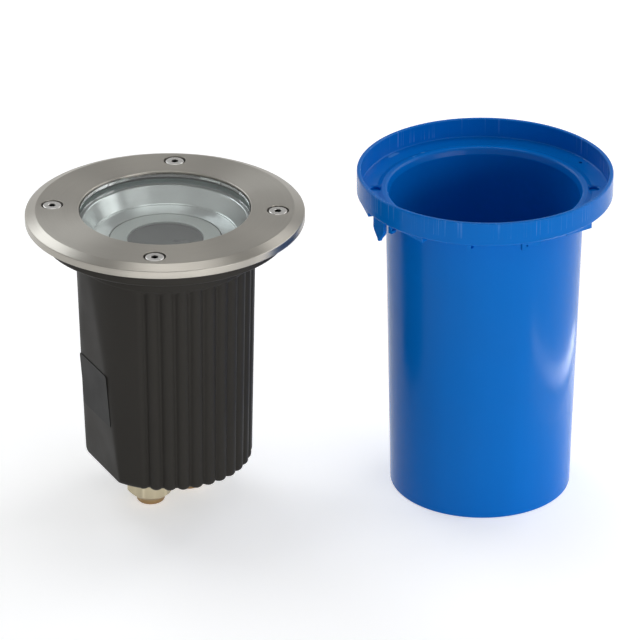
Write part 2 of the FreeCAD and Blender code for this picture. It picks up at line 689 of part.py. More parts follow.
def pin_slot():
    """Curved slot that a lamp pin drops into and turns along."""
    reach = PIN_SPACING / 2
    half = PIN_D / 2 + RUN_GAP
    low = PIN_END - HOLDER_PIN_ROOM
    high = HOLDER_TOP + OVERCUT
    ends = [spun(disc(half, low, high, reach), 90 + angle) for angle in (0, LAMP_TWIST)]
    sweep = turned([(reach - half, low), (reach + half, low), (reach + half, high), (reach - half, high)],
                   LAMP_TWIST)
    return ends[0].fuse([ends[1], spun(sweep, 90)])


def holder_screw_places():
    """Places of the holder's two screws across the bracket."""
    out = HOLDER_LONG / 2 - HOLDER_SCREW_INSET
    return (-out, out)


def lampholder():
    """Ceramic twist-lock holder: a block on the bracket with a round slotted head."""
    holder = block((HOLDER_WIDE, HOLDER_LONG, HOLDER_BASE_HIGH), BRACKET_TOP)
    holder = holder.fuse(disc(HOLDER_HEAD_D / 2, HOLDER_BASE_TOP, HOLDER_TOP))
    slot = pin_slot()
    tools = [slot, spun(slot, 180)]
    tools += [disc(HOLDER_SCREW_D / 2 + FIT_GAP, BRACKET_TOP - OVERCUT, HOLDER_BASE_TOP + OVERCUT, 0, y)
              for y in holder_screw_places()]
    side = -HOLDER_WIDE / 2
    tools += [lying(LEAD_D / 2 + FIT_GAP, side - OVERCUT, side + LEAD_IN_BARREL, y, LEAD_TOP)
              for y in (-POLE_PITCH, POLE_PITCH)]
    return holder.cut(tools)


def small_screw(seat, length):
    """Pan-head screw with its head up, on the axis."""
    top = seat + SMALL_HEAD_HIGH
    return turned([
        (0, seat - length), (HOLDER_SCREW_D / 2, seat - length), (HOLDER_SCREW_D / 2, seat),
        (SMALL_HEAD_D / 2, seat), (SMALL_HEAD_D / 2, top, SMALL_HEAD_ROUND), (0, top)])


def holder_screws():
    """Two screws that hold the lampholder on the bracket."""
    screw = small_screw(HOLDER_BASE_TOP, HOLDER_SCREW_LONG)
    return Part.Compound([moved(screw, 0, y) for y in holder_screw_places()])


def holder_bracket():
    """Bent steel bridge standing on the floor bosses."""
    half = BRACKET_SPAN / 2
    foot_z = BOSS_TOP
    sheet = BRACKET_SHEET
    toe = half - BRACKET_FOOT
    bend = BRACKET_BEND
    inner = bend - sheet
    strap = [
        (-toe, foot_z), (-half, foot_z, bend), (-half, BRACKET_TOP, bend), (half, BRACKET_TOP, bend),
        (half, foot_z, bend), (toe, foot_z), (toe, foot_z + sheet), (half - sheet, foot_z + sheet, inner),
        (half - sheet, BLOCK_TOP, inner), (-half + sheet, BLOCK_TOP, inner),
        (-half + sheet, foot_z + sheet, inner), (-toe, foot_z + sheet)]
    bridge = Part.Face(outline(strap)).extrude(V(0, BRACKET_WIDE, 0))
    bridge = spun(moved(bridge, 0, -BRACKET_WIDE / 2), 90)
    hole = HOLDER_SCREW_D / 2 + FIT_GAP
    low = BLOCK_TOP - OVERCUT
    high = BRACKET_TOP + OVERCUT
    holes = [disc(hole, low, high, 0, y) for y in holder_screw_places()]
    holes += [disc(hole, foot_z - OVERCUT, foot_z + 2 * sheet, 0, y) for y in foot_screw_places()]
    holes.append(disc(CLAMP_SCREW_D / 2 + FIT_GAP, low, high, 0, POLE_PITCH / 2))
    return bridge.cut(holes)


def bracket_screws():
    """Two screws that hold the bracket's feet on the floor bosses."""
    screw = small_screw(BOSS_TOP + BRACKET_SHEET, FOOT_SCREW_LONG)
    return Part.Compound([moved(screw, 0, y) for y in foot_screw_places()])


def pole_places():
    """Places of the terminal block's poles."""
    return [(i - (POLE_COUNT - 1) / 2) * POLE_PITCH for i in range(POLE_COUNT)]


def terminal_block():
    """Three-pole terminal block hanging under the bracket."""
    body = block((BLOCK_WIDE, BLOCK_LONG, BLOCK_HIGH), BLOCK_UNDER)
    half = BLOCK_WIDE / 2
    screw_hole = CLAMP_SCREW_D / 2 + FIT_GAP
    low = BLOCK_UNDER - OVERCUT
    tools = []
    for y in pole_places():
        tools.append(lying(BARREL_D / 2, -half + BARREL_MOUTH, half - BARREL_MOUTH, y, BARREL_Z))
        tools.append(lying(LEAD_D / 2 + FIT_GAP, -half - OVERCUT, half + OVERCUT, y, BARREL_Z))
        for side in (-1, 1):
            tools.append(disc(screw_hole, low, BARREL_Z, side * CLAMP_SCREW_SPACING / 2, y))
    tools.append(disc(screw_hole, low, BLOCK_TOP + OVERCUT, 0, POLE_PITCH / 2))
    return body.cut(tools)


def terminal_barrels():
    """Brass barrels inside the block, one for each pole."""
    half = BLOCK_WIDE / 2 - BARREL_MOUTH
    barrels = []
    for y in pole_places():
        barrel = lying(BARREL_D / 2 - FIT_GAP / 2, -half + FIT_GAP, half - FIT_GAP, y, BARREL_Z)
        barrel = barrel.cut(lying(LEAD_D / 2 + FIT_GAP, -half, half, y, BARREL_Z))
        holes = [disc(CLAMP_SCREW_D / 2 + FIT_GAP, BLOCK_UNDER, BARREL_Z, side * CLAMP_SCREW_SPACING / 2, y)
                 for side in (-1, 1)]
        barrels.append(barrel.cut(holes))
    return Part.Compound(barrels)


def terminal_screws():
    """Clamping screws of the terminal block, two for each pole."""
    low = BARREL_Z - LEAD_D / 2 - FIT_GAP / 2 - CLAMP_SCREW_LONG
    screws = []
    for y in pole_places():
        for side in (-1, 1):
            x = side * CLAMP_SCREW_SPACING / 2
            screws.append(disc(CLAMP_SCREW_D / 2, low, low + CLAMP_SCREW_LONG, x, y))
    return Part.Compound(screws)


def block_screw():
    """Screw that holds the terminal block under the bracket."""
    low = BLOCK_UNDER - SMALL_HEAD_HIGH
    shank = CLAMP_SCREW_D / 2
    head = BLOCK_SCREW_HEAD_D / 2
    screw = turned([(0, low), (head, low, BLOCK_SCREW_ROUND), (head, BLOCK_UNDER), (shank, BLOCK_UNDER),
                    (shank, BRACKET_TOP), (0, BRACKET_TOP)])
    return moved(screw, 0, POLE_PITCH / 2)


def lamp_leads():
    """Two leads from the holder's side, down past the bracket and into the terminal block."""
    side = -HOLDER_WIDE / 2
    out = side - LEAD_REACH
    end = -BLOCK_WIDE / 2 + LEAD_IN_BARREL
    path = [V(side + LEAD_IN_BARREL, 0, LEAD_TOP), V(out, 0, LEAD_TOP), V(out, 0, BARREL_Z),
            V(end, 0, BARREL_Z)]
    lead = bent_rod(path, LEAD_D / 2, LEAD_BEND)
    return Part.Compound([moved(lead, 0, y) for y in (-POLE_PITCH, POLE_PITCH)])


def crimp_level():
    """Level of the lug's crimp tube."""
    return EARTH_SEAT + LUG_THICK / 2 + LEAD_D / 2 + LUG_WALL / 2


def lug_mouth():
    """Place along X where the lead enters the lug's crimp."""
    return -earth_out() + EARTH_BOSS_D / 2


def earth_lead():
    """Lead from the middle pole down to the earth lug."""
    end = -BLOCK_WIDE / 2 + LEAD_IN_BARREL
    level = crimp_level()
    drop = lug_mouth() + EARTH_LEAD_RUN
    path = [V(end, 0, BARREL_Z), V(drop, 0, BARREL_Z), V(drop, 0, level), V(lug_mouth(), 0, level)]
    return bent_rod(path, LEAD_D / 2, EARTH_LEAD_BEND)


def earth_lug():
    """Ring lug with its crimp tube."""
    seat = EARTH_SEAT
    mouth = lug_mouth()
    ring = tube(EARTH_BOSS_D / 2, EARTH_SCREW_D / 2 + FIT_GAP, seat, seat + LUG_THICK, -earth_out(), 0)
    crimp = lying(LEAD_D / 2 + LUG_WALL, mouth - LUG_WALL, mouth + LUG_CRIMP_LONG, 0, crimp_level())
    crimp = crimp.cut(lying(LEAD_D / 2 + FIT_GAP / 2, mouth, mouth + LUG_CRIMP_LONG, 0, crimp_level()))
    above = block((EARTH_BOSS_D, EARTH_BOSS_D, EARTH_BOSS_D), seat, mouth)
    return ring.fuse(crimp.common(above))


def earth_screw():
    """Pan-head screw of the earth point."""
    seat = EARTH_SEAT + LUG_THICK
    low = seat - EARTH_SCREW_LONG
    top = seat + EARTH_HEAD_HIGH
    shank = EARTH_SCREW_D / 2
    head = EARTH_HEAD_D / 2
    screw = turned([(0, low), (shank, low), (shank, seat), (head, seat), (head, top, EARTH_HEAD_ROUND),
                    (0, top)])
    return moved(screw, -earth_out(), 0)


def gland_body():
    """Gland body on the axis: thread through the floor, hexagon flange, spigot for the cap nut."""
    body = disc(GLAND_THREAD_D / 2, GLAND_FLANGE_UNDER, GLAND_TOP)
    body = body.fuse(hexagon(GLAND_HEX, GLAND_FLANGE_UNDER, GLAND_FLANGE_TOP))
    body = body.fuse(disc(GLAND_SPIGOT_D / 2, SPIGOT_END, GLAND_FLANGE_TOP))
    socket = disc(SEAL_BORE_D / 2 + SEAL_WALL + FIT_GAP, SPIGOT_END, GLAND_FLANGE_UNDER)
    bore = disc(GLAND_BORE_D / 2, SPIGOT_END, GLAND_TOP)
    return body.cut([socket, bore])


def gland_seal():
    """Rubber insert that grips the cable."""
    return tube(SEAL_BORE_D / 2 + SEAL_WALL, SEAL_BORE_D / 2, SEAL_END, GLAND_FLANGE_UNDER)


def gland_washer():
    """Sealing washer between the gland's flange and the housing."""
    inner = GLAND_THREAD_D / 2 + FIT_GAP
    return tube(inner + GLAND_WASHER_WALL, inner, GLAND_FLANGE_TOP, BODY_BOTTOM_Z)


def gland_locknut():
    """Hexagon locknut inside the housing."""
    nut = hexagon(LOCKNUT_HEX, FLOOR, FLOOR + LOCKNUT_HIGH)
    return nut.cut(disc(GLAND_THREAD_D / 2 + FIT_GAP, FLOOR - OVERCUT, FLOOR + LOCKNUT_HIGH + OVERCUT))


def gland_nut():
    """Cap nut: a hexagon with a round nose that the cable comes out of."""
    nose = NUT_DOME_D / 2
    shoulder = NUT_DOME_LONG
    face = nose + NUT_FACE_WIDE
    reach = GLAND_HEX - face
    slope = turned([(0, shoulder), (face, shoulder), (reach, shoulder + 2 * NUT_SHOULDER), (reach, NUT_TOP),
                    (0, NUT_TOP)])
    nut = hexagon(GLAND_HEX, shoulder, NUT_TOP).common(slope)
    nut = nut.fuse(turned([(0, 0), (nose, 0, NUT_DOME_ROUND), (nose, NUT_SEAT), (0, NUT_SEAT)]))
    socket = disc(GLAND_SPIGOT_D / 2 + RUN_GAP, NUT_SEAT, NUT_TOP)
    return nut.cut([socket, disc(NUT_BORE_D / 2, -OVERCUT, NUT_SEAT + OVERCUT)])


def at_glands(shape):
    """The shape at both glands, each turned so that a hexagon corner faces its direction."""
    straight = spun(shape, GLAND_HEX_AZIMUTH - FACET_AZIMUTH)
    return [moved(straight, at.x, at.y) for at in gland_places()]


def sleeve_tube():
    """Turned form of the sleeve: tapered tube, ledge and rim."""
    inner_top = SLEEVE_TOP_R - SLEEVE_WALL
    rim_inner = RIM_R - SLEEVE_WALL
    lip_out = LIP_R + LIP_WIDE
    return turned([
        (SLEEVE_BASE_R - SLEEVE_WALL, 0), (SLEEVE_BASE_R, 0, SLEEVE_FOOT_ROUND),
        (SLEEVE_TOP_R, LEDGE_UNDER, SLEEVE_NECK_ROUND), (RIM_R, LEDGE_UNDER, RIM_UNDER_ROUND),
        (RIM_R, SLEEVE_HEIGHT, RIM_TOP_ROUND), (rim_inner, SLEEVE_HEIGHT, RIM_INNER_ROUND),
        (rim_inner, LEDGE, LEDGE_CORNER_ROUND),
        (rim_inner - LEDGE_SHELF, LEDGE - LEDGE_FALL, LEDGE_SHELF_ROUND),
        (lip_out + LEDGE_SHELF, LEDGE - LEDGE_DISH, LEDGE_DISH_ROUND), (lip_out, LEDGE, LEDGE_SHELF_ROUND),
        (LIP_R, LEDGE, LIP_ROUND), (inner_top, LEDGE_UNDER - THROAT_DROP, THROAT_ROUND)])


def hung_plate(corners, thick, azimuth):
    """Flat plate of (along, z) corners standing across the radius under the rim."""
    outer = RIM_R - UNDER_RIM_INSET
    plate = Part.Face(outline(corners)).extrude(V(0, thick, 0))
    return spun(moved(plate, 0, -outer), azimuth - 270)


def ramp(start, end):
    """Wedge under the ledge that deepens from its start to its end."""
    half = (RIM_R - UNDER_RIM_INSET) * math.radians(end - start) / 2
    top = LEDGE_UNDER + LEDGE_THICK / 2
    corners = [(-half, LEDGE_UNDER - RAMP_START), (half, LEDGE_UNDER - RAMP_DEEP), (half, top), (-half, top)]
    return hung_plate(corners, RAMP_WIDE, (start + end) / 2)


def tongue(azimuth):
    """Hanging tongue with a rounded end and a small pip at its tip."""
    half = TONGUE_WIDE / 2
    top = LEDGE_UNDER + LEDGE_THICK / 2
    low = LEDGE_UNDER - TONGUE_LONG
    tip = low - TONGUE_TIP
    corners = [
        (-half, top), (-half, low + half), (-TONGUE_TIP, low, TONGUE_ROUND), (-TONGUE_TIP / 2, tip),
        (TONGUE_TIP / 2, tip), (TONGUE_TIP, low, TONGUE_ROUND), (half, low + half), (half, top)]
    return hung_plate(corners, TONGUE_THICK, azimuth)


def hook(azimuth):
    """Small snap hook: a narrow stem with a nose pointing along the rim."""
    half = HOOK_WIDE / 2
    top = LEDGE_UNDER + LEDGE_THICK / 2
    low = LEDGE_UNDER - HOOK_LONG
    corners = [(-half, top), (-half, low), (half, low), (half + HOOK_WIDE / 2, low + HOOK_WIDE),
               (half, low + HOOK_WIDE), (half, top)]
    return hung_plate(corners, HOOK_DEEP, azimuth)


def sleeve():
    """Moulded installation sleeve with its fixing holes and the snap features under its rim."""
    features = [ramp(start, end) for start, end in RAMPS]
    features += [tongue(TONGUE_AZIMUTH)]
    features += [hook(azimuth) for azimuth in HOOKS]
    features += [spun(feature, 180) for feature in features]
    shape = sleeve_tube().fuse(features)
    low = LEDGE_UNDER - HOOK_LONG
    fixing = disc(FIXING_HOLE_D / 2, low, LEDGE + OVERCUT, FIXING_R)
    drain = spun(disc(DRAIN_D / 2, low, LEDGE + OVERCUT, DRAIN_R), DRAIN_AZIMUTH)
    return shape.cut([fixing, spun(fixing, 180), drain, spun(drain, 180)]).removeSplitter()


def write(name, shape):
    """Write one node's STEP file."""
    shape.exportStep("parts/" + name + ".step")
    print(name, len(shape.Solids), "solid(s), valid", shape.isValid(), "volume", round(shape.Volume, 1))


def main():
    """Build every node and write it."""
    os.makedirs("parts", exist_ok=True)
    straight = {
        "housing": housing(),
        "rating_label": rating_label(),
        "trim_ring": trim_ring(),
        "trim_screws": trim_screws(),
        "glass_lens": glass_lens(),
        "lens_gasket": lens_gasket(),
        "reflector": reflector(),
    }
    turned_inside = {
        "lamp_shell": lamp_shell(),
        "lamp_lens": lamp_lens(),
        "lamp_base": lamp_base(),
        "lamp_pins": lamp_pins(),
        "lampholder": lampholder(),
        "holder_screws": holder_screws(),
        "holder_bracket": holder_bracket(),
        "bracket_screws": bracket_screws(),
        "terminal_block": terminal_block(),
        "terminal_barrels": terminal_barrels(),
        "terminal_screws": terminal_screws(),
        "block_screw": block_screw(),
        "lamp_leads": lamp_leads(),
        "earth_lead": earth_lead(),
        "earth_lug": earth_lug(),
        "earth_screw": earth_screw(),
        "gland_bodies": Part.Compound(at_glands(gland_body())),
        "gland_seals": Part.Compound(at_glands(gland_seal())),
        "gland_washers": Part.Compound(at_glands(gland_washer())),
        "gland_locknuts": Part.Compound(at_glands(gland_locknut())),
        "gland_nut_front": at_glands(gland_nut())[0],
        "gland_nut_rear": at_glands(gland_nut())[1],
    }
    for name, shape in straight.items():
        write(name, moved(shape, LIGHT_AT.x, LIGHT_AT.y))
    for name, shape in turned_inside.items():
        write(name, moved(spun(shape, FACET_AZIMUTH), LIGHT_AT.x, LIGHT_AT.y))
    write("sleeve", moved(sleeve(), SLEEVE_AT.x, SLEEVE_AT.y))


main()
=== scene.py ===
"""In-ground well light with the installation sleeve beside it, dressed for a plain studio."""

import logging
import math
from collections.abc import Callable, Iterable
from dataclasses import dataclass, field
from enum import Enum
from typing import ClassVar

import bmesh
import bpy
from mathutils import Matrix, Vector

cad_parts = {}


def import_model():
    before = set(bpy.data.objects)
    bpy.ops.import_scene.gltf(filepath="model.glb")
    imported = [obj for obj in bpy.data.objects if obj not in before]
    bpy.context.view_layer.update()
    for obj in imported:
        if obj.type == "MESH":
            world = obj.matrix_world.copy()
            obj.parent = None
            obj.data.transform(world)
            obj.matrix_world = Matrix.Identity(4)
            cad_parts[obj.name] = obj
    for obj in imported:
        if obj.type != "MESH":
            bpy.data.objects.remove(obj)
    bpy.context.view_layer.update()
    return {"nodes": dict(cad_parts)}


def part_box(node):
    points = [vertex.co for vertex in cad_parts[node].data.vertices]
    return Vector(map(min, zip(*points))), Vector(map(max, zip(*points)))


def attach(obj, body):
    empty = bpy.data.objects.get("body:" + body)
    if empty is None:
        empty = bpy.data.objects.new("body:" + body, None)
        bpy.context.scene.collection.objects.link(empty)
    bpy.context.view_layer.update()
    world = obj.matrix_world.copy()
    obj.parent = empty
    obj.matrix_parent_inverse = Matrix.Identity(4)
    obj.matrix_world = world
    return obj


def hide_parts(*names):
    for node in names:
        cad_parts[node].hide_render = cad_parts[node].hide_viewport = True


LOG = logging.getLogger("well_light")

Colour = tuple[float, float, float, float]
Edges = list[bmesh.types.BMEdge]
Socket = bpy.types.NodeSocket
Fed = Socket | float | tuple

# Working sizes are in millimetres and are brought to metres when a piece is finished.
TO_METRES = 0.001
WELD = 0.0004
SLACK = 0.002
PLACE_STEP = 0.05
SMOOTH_LIMIT = math.radians(38.0)
CIRCLE = 360.0
CENTRE = Vector((0.0, 0.0, 0.0))

# A face belongs to the patch round a bore's mouth if it is this level and this near the mouth's height.
PATCH_LEVEL = 0.6
PATCH_NEAR = 0.75

# An edge lies along an axis if at least this share of its direction does.
ALONG = 0.9

# Steps round the axis of the largest turned pieces.
FINE_STEPS = 240

# The UV map of turned metal, and the length that one unit of it spans.
TURNING = "turning"
TURNING_SPAN = 100.0

# Sizes that the cover, the housing and the lighting share.
SCREW_OUT = 50.5
SCREW_ANGLES = tuple(-3.3 + 90.0 * index for index in range(4))
RING_SEAT = 139.3
GLASS_STEP = 138.8
GLASS_UNDER = 135.0
PAN_SEAT = 132.0


class Body(Enum):
    """Moving bodies of the frame that a piece can ride on."""

    SLEEVE = "installation_sleeve"
    LIGHT = "light"
    COVER = "cover"
    LAMP = "lamp"
    FRONT_CAP = "front_gland_cap"
    REAR_CAP = "rear_gland_cap"


class Slot(Enum):
    """Material slot names of the record; the new pieces built here are not given them."""

    RING = "ring_steel"
    SCREW = "screw_steel"
    GLASS = "lens_glass"
    GASKET = "gasket_silicone"
    HOUSING = "housing_black"
    LABEL = "label_black"
    REFLECTOR = "reflector_aluminium"
    LAMP_SHELL = "lamp_silver"
    LAMP_FRONT = "lamp_diffuser"
    GLAND = "gland_brass"
    SLEEVE = "sleeve_blue"


@dataclass(frozen=True)
class Corner:
    """One corner of a turned section.

    Args:
        radius: Distance from the axis.
        level: Height above the ground.
        round: Radius of the rounding at the corner, or 0 for a sharp one.
    """

    radius: float
    level: float
    round: float = 0.0


@dataclass(frozen=True)
class Bore:
    """A round hole or pocket: circles of (radius, level) from its mouth downwards.

    Args:
        out: Distance of the hole's middle from the axis.
        azimuth: Direction of the hole's middle, in degrees.
        circles: Radius and level of each circle on the way in.
        reach_out: Half the patch that is opened round the mouth, along the radius.
        reach_round: Half the patch round the mouth, in degrees.
        steps: Number of steps round the hole.
    """

    out: float
    azimuth: float
    circles: tuple[tuple[float, float], ...]
    reach_out: float
    reach_round: float
    steps: int = 48


@dataclass(frozen=True)
class Boss:
    """A round boss with a blind hole, on the housing's floor.

    Args:
        turn: Direction from the facet's middle, in degrees.
        out: Distance of its middle from the axis.
        radius: Outer radius.
        high: Height over the floor.
        drill: Radius of its hole.
    """

    turn: float
    out: float
    radius: float
    high: float
    drill: float


def rgb(red: int, green: int, blue: int) -> Colour:
    """Turn a screen colour of 0 to 255 into the linear colour that a shader takes.

    Args:
        red: Red part.
        green: Green part.
        blue: Blue part.

    Returns:
        Linear colour with an alpha of 1.
    """
    linear = []
    for part in (red, green, blue):
        share = part / 255.0
        linear.append(share / 12.92 if share <= 0.04045 else ((share + 0.055) / 1.055) ** 2.4)
    return (linear[0], linear[1], linear[2], 1.0)


def polar(radius: float, azimuth: float, level: float) -> Vector:
    """Point from a radius, a direction in degrees and a level."""
    angle = math.radians(azimuth)
    return Vector((radius * math.cos(angle), radius * math.sin(angle), level))


def azimuth_of(point: Vector) -> float:
    """Direction of a point round the axis, in degrees from 0 to 360."""
    return math.degrees(math.atan2(point.y, point.x)) % CIRCLE


def apart(first: float, second: float) -> float:
    """Signed angle from the second direction to the first, between -180 and 180 degrees."""
    return (first - second + CIRCLE / 2) % CIRCLE - CIRCLE / 2


def flat(radii: Iterable[float], level: float) -> list[Corner]:
    """Corners at some radii on one level."""
    return [Corner(radius, level) for radius in radii]


def bands(pitch: float, count: int = 3) -> list[float]:
    """Even radii on both sides of the screws' circle, outwards."""
    return [SCREW_OUT + pitch * step for step in range(-count, count + 1)]


# ---------------------------------------------------------------------------
# Mesh work
# ---------------------------------------------------------------------------


def move(bm: bmesh.types.BMesh, by: Vector | tuple[float, float, float]) -> None:
    """Move a whole mesh."""
    bmesh.ops.translate(bm, vec=by, verts=bm.verts[:])


def turn(bm: bmesh.types.BMesh, angle: float, axis: str = "Z") -> None:
    """Turn a whole mesh round an axis, in degrees."""
    bmesh.ops.rotate(bm, verts=bm.verts[:], cent=CENTRE, matrix=Matrix.Rotation(math.radians(angle), 3, axis))


def face_out(bm: bmesh.types.BMesh) -> None:
    """Point all faces outwards."""
    bmesh.ops.recalc_face_normals(bm, faces=bm.faces[:])


def soften(bm: bmesh.types.BMesh, geom: list, offset: float, segments: int, affect: str = "EDGES",
           clamp: bool = True) -> None:
    """Bevel some edges or corners.

    Args:
        bm: Mesh that they are in.
        geom: The edges or corners.
        offset: Width of the bevel.
        segments: Number of segments across it.
        affect: EDGES or VERTICES.
        clamp: Whether the bevels stop where they meet.
    """
    bmesh.ops.bevel(bm, geom=geom, offset=offset, offset_type="OFFSET", segments=segments, profile=0.5,
                    affect=affect, clamp_overlap=clamp, material=-1)


def section(bm: bmesh.types.BMesh, corners: list[Corner], closed: bool = False, arc: int = 5) -> None:
    """Draw a section in the XZ plane and round its corners.

    Args:
        bm: Mesh that the section is drawn in.
        corners: Corners in order.
        closed: Whether the last corner joins the first.
        arc: Number of segments in each rounding.
    """
    verts = [bm.verts.new((corner.radius, 0.0, corner.level)) for corner in corners]
    count = len(verts)
    for index in range(count if closed else count - 1):
        bm.edges.new((verts[index], verts[(index + 1) % count]))
    places = [Vector((corner.radius, corner.level)) for corner in corners]
    for index, corner in enumerate(corners):
        if corner.round <= 0.0:
            continue
        back = places[index - 1] - places[index]
        ahead = places[(index + 1) % count] - places[index]
        setback = corner.round / math.tan(back.angle(ahead) / 2.0)
        soften(bm, [verts[index]], setback, arc, "VERTICES", clamp=False)


def spun(bm: bmesh.types.BMesh, steps: int) -> None:
    """Turn a drawn section once round the axis."""
    bmesh.ops.spin(bm, geom=bm.verts[:] + bm.edges[:], cent=CENTRE, axis=(0, 0, 1), angle=math.tau,
                   steps=steps, use_merge=True)
    bmesh.ops.remove_doubles(bm, verts=bm.verts[:], dist=WELD)


def turned(corners: list[Corner], closed: bool = True, steps: int = 180, first: float = 0.0,
           ) -> bmesh.types.BMesh:
    """Turn a section into a closed shape.

    Args:
        corners: Corners of the section. An open section starts and ends on the axis.
        closed: Whether the section is a closed ring off the axis.
        steps: Number of steps round the axis.
        first: Direction of the first step, in degrees.

    Returns:
        A closed mesh whose faces point outwards.
    """
    bm = bmesh.new()
    section(bm, corners, closed)
    turn(bm, first)
    spun(bm, steps)
    face_out(bm)
    return bm


def open_patch(bm: bmesh.types.BMesh, bore: Bore, level: float) -> Edges:
    """Open a patch of a turned face round the mouth of a bore.

    Args:
        bm: Turned mesh.
        bore: Bore whose mouth is opened.
        level: Level of the face.

    Returns:
        Edges round the patch.
    """
    patch = []
    for face in bm.faces:
        middle = face.calc_center_median()
        out = math.hypot(middle.x, middle.y)
        if (abs(out - bore.out) < bore.reach_out and abs(face.normal.z) > PATCH_LEVEL
                and abs(apart(azimuth_of(middle), bore.azimuth)) < bore.reach_round
                and all(abs(vert.co.z - level) < PATCH_NEAR for vert in face.verts)):
            patch.append(face)
    return open_faces(bm, patch)


def open_faces(bm: bmesh.types.BMesh, patch: list[bmesh.types.BMFace]) -> Edges:
    """Delete some faces.

    Args:
        bm: Mesh that they are in.
        patch: Faces that go.

    Returns:
        Edges that are left round them.
    """
    chosen = set(patch)
    rim = [edge for edge in {edge for face in patch for edge in face.edges}
           if sum(face in chosen for face in edge.link_faces) == 1]
    bmesh.ops.delete(bm, geom=patch, context="FACES")
    return [edge for edge in rim if edge.is_valid]


def circle(bm: bmesh.types.BMesh, centre: Vector, radius: float, level: float, steps: int) -> Edges:
    """Draw a level circle and give its edges."""
    made = bmesh.ops.create_circle(bm, cap_ends=False, segments=steps, radius=radius,
                                   matrix=Matrix.Translation((centre.x, centre.y, level)))
    return list({edge for vert in made["verts"] for edge in vert.link_edges})


def draw_in(bm: bmesh.types.BMesh, rim: Edges, place: Callable[[float], tuple[float, float]],
            centre: Vector = CENTRE) -> Edges:
    """Extrude an open rim and set its new corners round a centre.

    Args:
        bm: Mesh with the open rim.
        rim: Edges of the rim.
        place: Gives the radius and the level for a direction in degrees.
        centre: Centre in plan.

    Returns:
        Edges of the new rim.
    """
    made = bmesh.ops.extrude_edge_only(bm, edges=rim)
    fresh = {item for item in made["geom"] if isinstance(item, bmesh.types.BMVert)}
    for vert in fresh:
        azimuth = azimuth_of(vert.co - centre)
        radius, level = place(azimuth)
        vert.co = polar(radius, azimuth, level) + centre
    return list({edge for vert in fresh for edge in vert.link_edges if edge.other_vert(vert) in fresh})


def sink(bm: bmesh.types.BMesh, bore: Bore, top: float, under: float | None = None) -> None:
    """Cut a stepped round bore into a turned face.

    Args:
        bm: Turned mesh.
        bore: Bore that is cut.
        top: Level of the face that it is cut into.
        under: Level of the lower face, where the bore goes through.
    """
    rim = open_patch(bm, bore, top)
    centre = polar(bore.out, bore.azimuth, 0.0)
    radius, level = bore.circles[0]
    last = circle(bm, centre, radius, level, bore.steps)
    bmesh.ops.triangle_fill(bm, edges=rim + last, use_beauty=True, normal=(0, 0, 1))
    for step in bore.circles[1:]:
        last = draw_in(bm, last, lambda azimuth, step=step: step, centre)
    if under is not None:
        lower = open_patch(bm, bore, under)
        bmesh.ops.triangle_fill(bm, edges=lower + last, use_beauty=True, normal=(0, 0, -1))
    else:
        bmesh.ops.edgeloop_fill(bm, edges=last)
    face_out(bm)


def lay_turning(bm: bmesh.types.BMesh) -> None:
    """Lay a UV map whose first direction runs out from the axis and down the sides.

    Args:
        bm: Turned mesh.
    """
    layer = bm.loops.layers.uv.new(TURNING)
    for face in bm.faces:
        middle = azimuth_of(face.calc_center_median())
        for loop in face.loops:
            place = loop.vert.co
            around = middle + apart(azimuth_of(place), middle)
            loop[layer].uv = ((math.hypot(place.x, place.y) - place.z) / TURNING_SPAN, around / CIRCLE)


def plate(corners: list[tuple[float, float]], thick: float, rounding: float = 0.0) -> bmesh.types.BMesh:
    """Upright plate of (along, level) corners in the XZ plane, thickened towards +Y.

    Args:
        corners: Corners in order.
        thick: Thickness.
        rounding: Bevel along all its edges.

    Returns:
        A closed mesh.
    """
    bm = bmesh.new()
    face = bm.faces.new([bm.verts.new((along, 0.0, level)) for along, level in corners])
    made = bmesh.ops.extrude_face_region(bm, geom=[face])
    bmesh.ops.translate(bm, vec=(0.0, thick, 0.0),
                        verts=[item for item in made["geom"] if isinstance(item, bmesh.types.BMVert)])
    face_out(bm)
    if rounding > 0.0:
        soften(bm, bm.edges[:], rounding, segments=2)
    return bm


def join(into: bmesh.types.BMesh, other: bmesh.types.BMesh) -> None:
    """Add a mesh to another one and free it.

    Args:
        into: Mesh that grows.
        other: Mesh that is added.
    """
    spare = bpy.data.meshes.new("spare")
    other.to_mesh(spare)
    into.from_mesh(spare)
    bpy.data.meshes.remove(spare)
    other.free()


def hexagon_out(across: float, angle: float) -> float:
    """Distance from the axis to a hexagon's side.

    Args:
        across: Distance between two flats.
        angle: Direction in degrees, with a corner at 0.

    Returns:
        Distance to the side.
    """
    side = CIRCLE / 6
    within = angle % side - side / 2
    return across / 2.0 / math.cos(math.radians(within))


def soft_least(first: float, second: float, soft: float) -> float:
    """Lesser of two lengths, rounded off where they are nearly alike."""
    near = max(soft - abs(first - second), 0.0) / soft
    return min(first, second) - near * near * soft / 4.0


def foot_inset(up: float, rounding: float) -> float:
    """How far a rounded foot draws a wall in.

    Args:
        up: Height over the foot.
        rounding: Radius of the foot's rounding.

    Returns:
        Distance that the wall lies in.
    """
    if up >= rounding:
        return 0.0
    return rounding - math.sqrt(max(rounding ** 2 - (rounding - up) ** 2, 0.0))


def axis_of(node: str) -> Vector:
    """Axis of a round CAD node, from its box, free of the mesh's own error.

    Args:
        node: Name of the node.

    Returns:
        Place of the axis, in millimetres.
    """
    low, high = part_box(node)
    middle = [round((low[side] + high[side]) / 2.0 / TO_METRES / PLACE_STEP) * PLACE_STEP for side in (0, 1)]
    return Vector((middle[0], middle[1], 0.0))


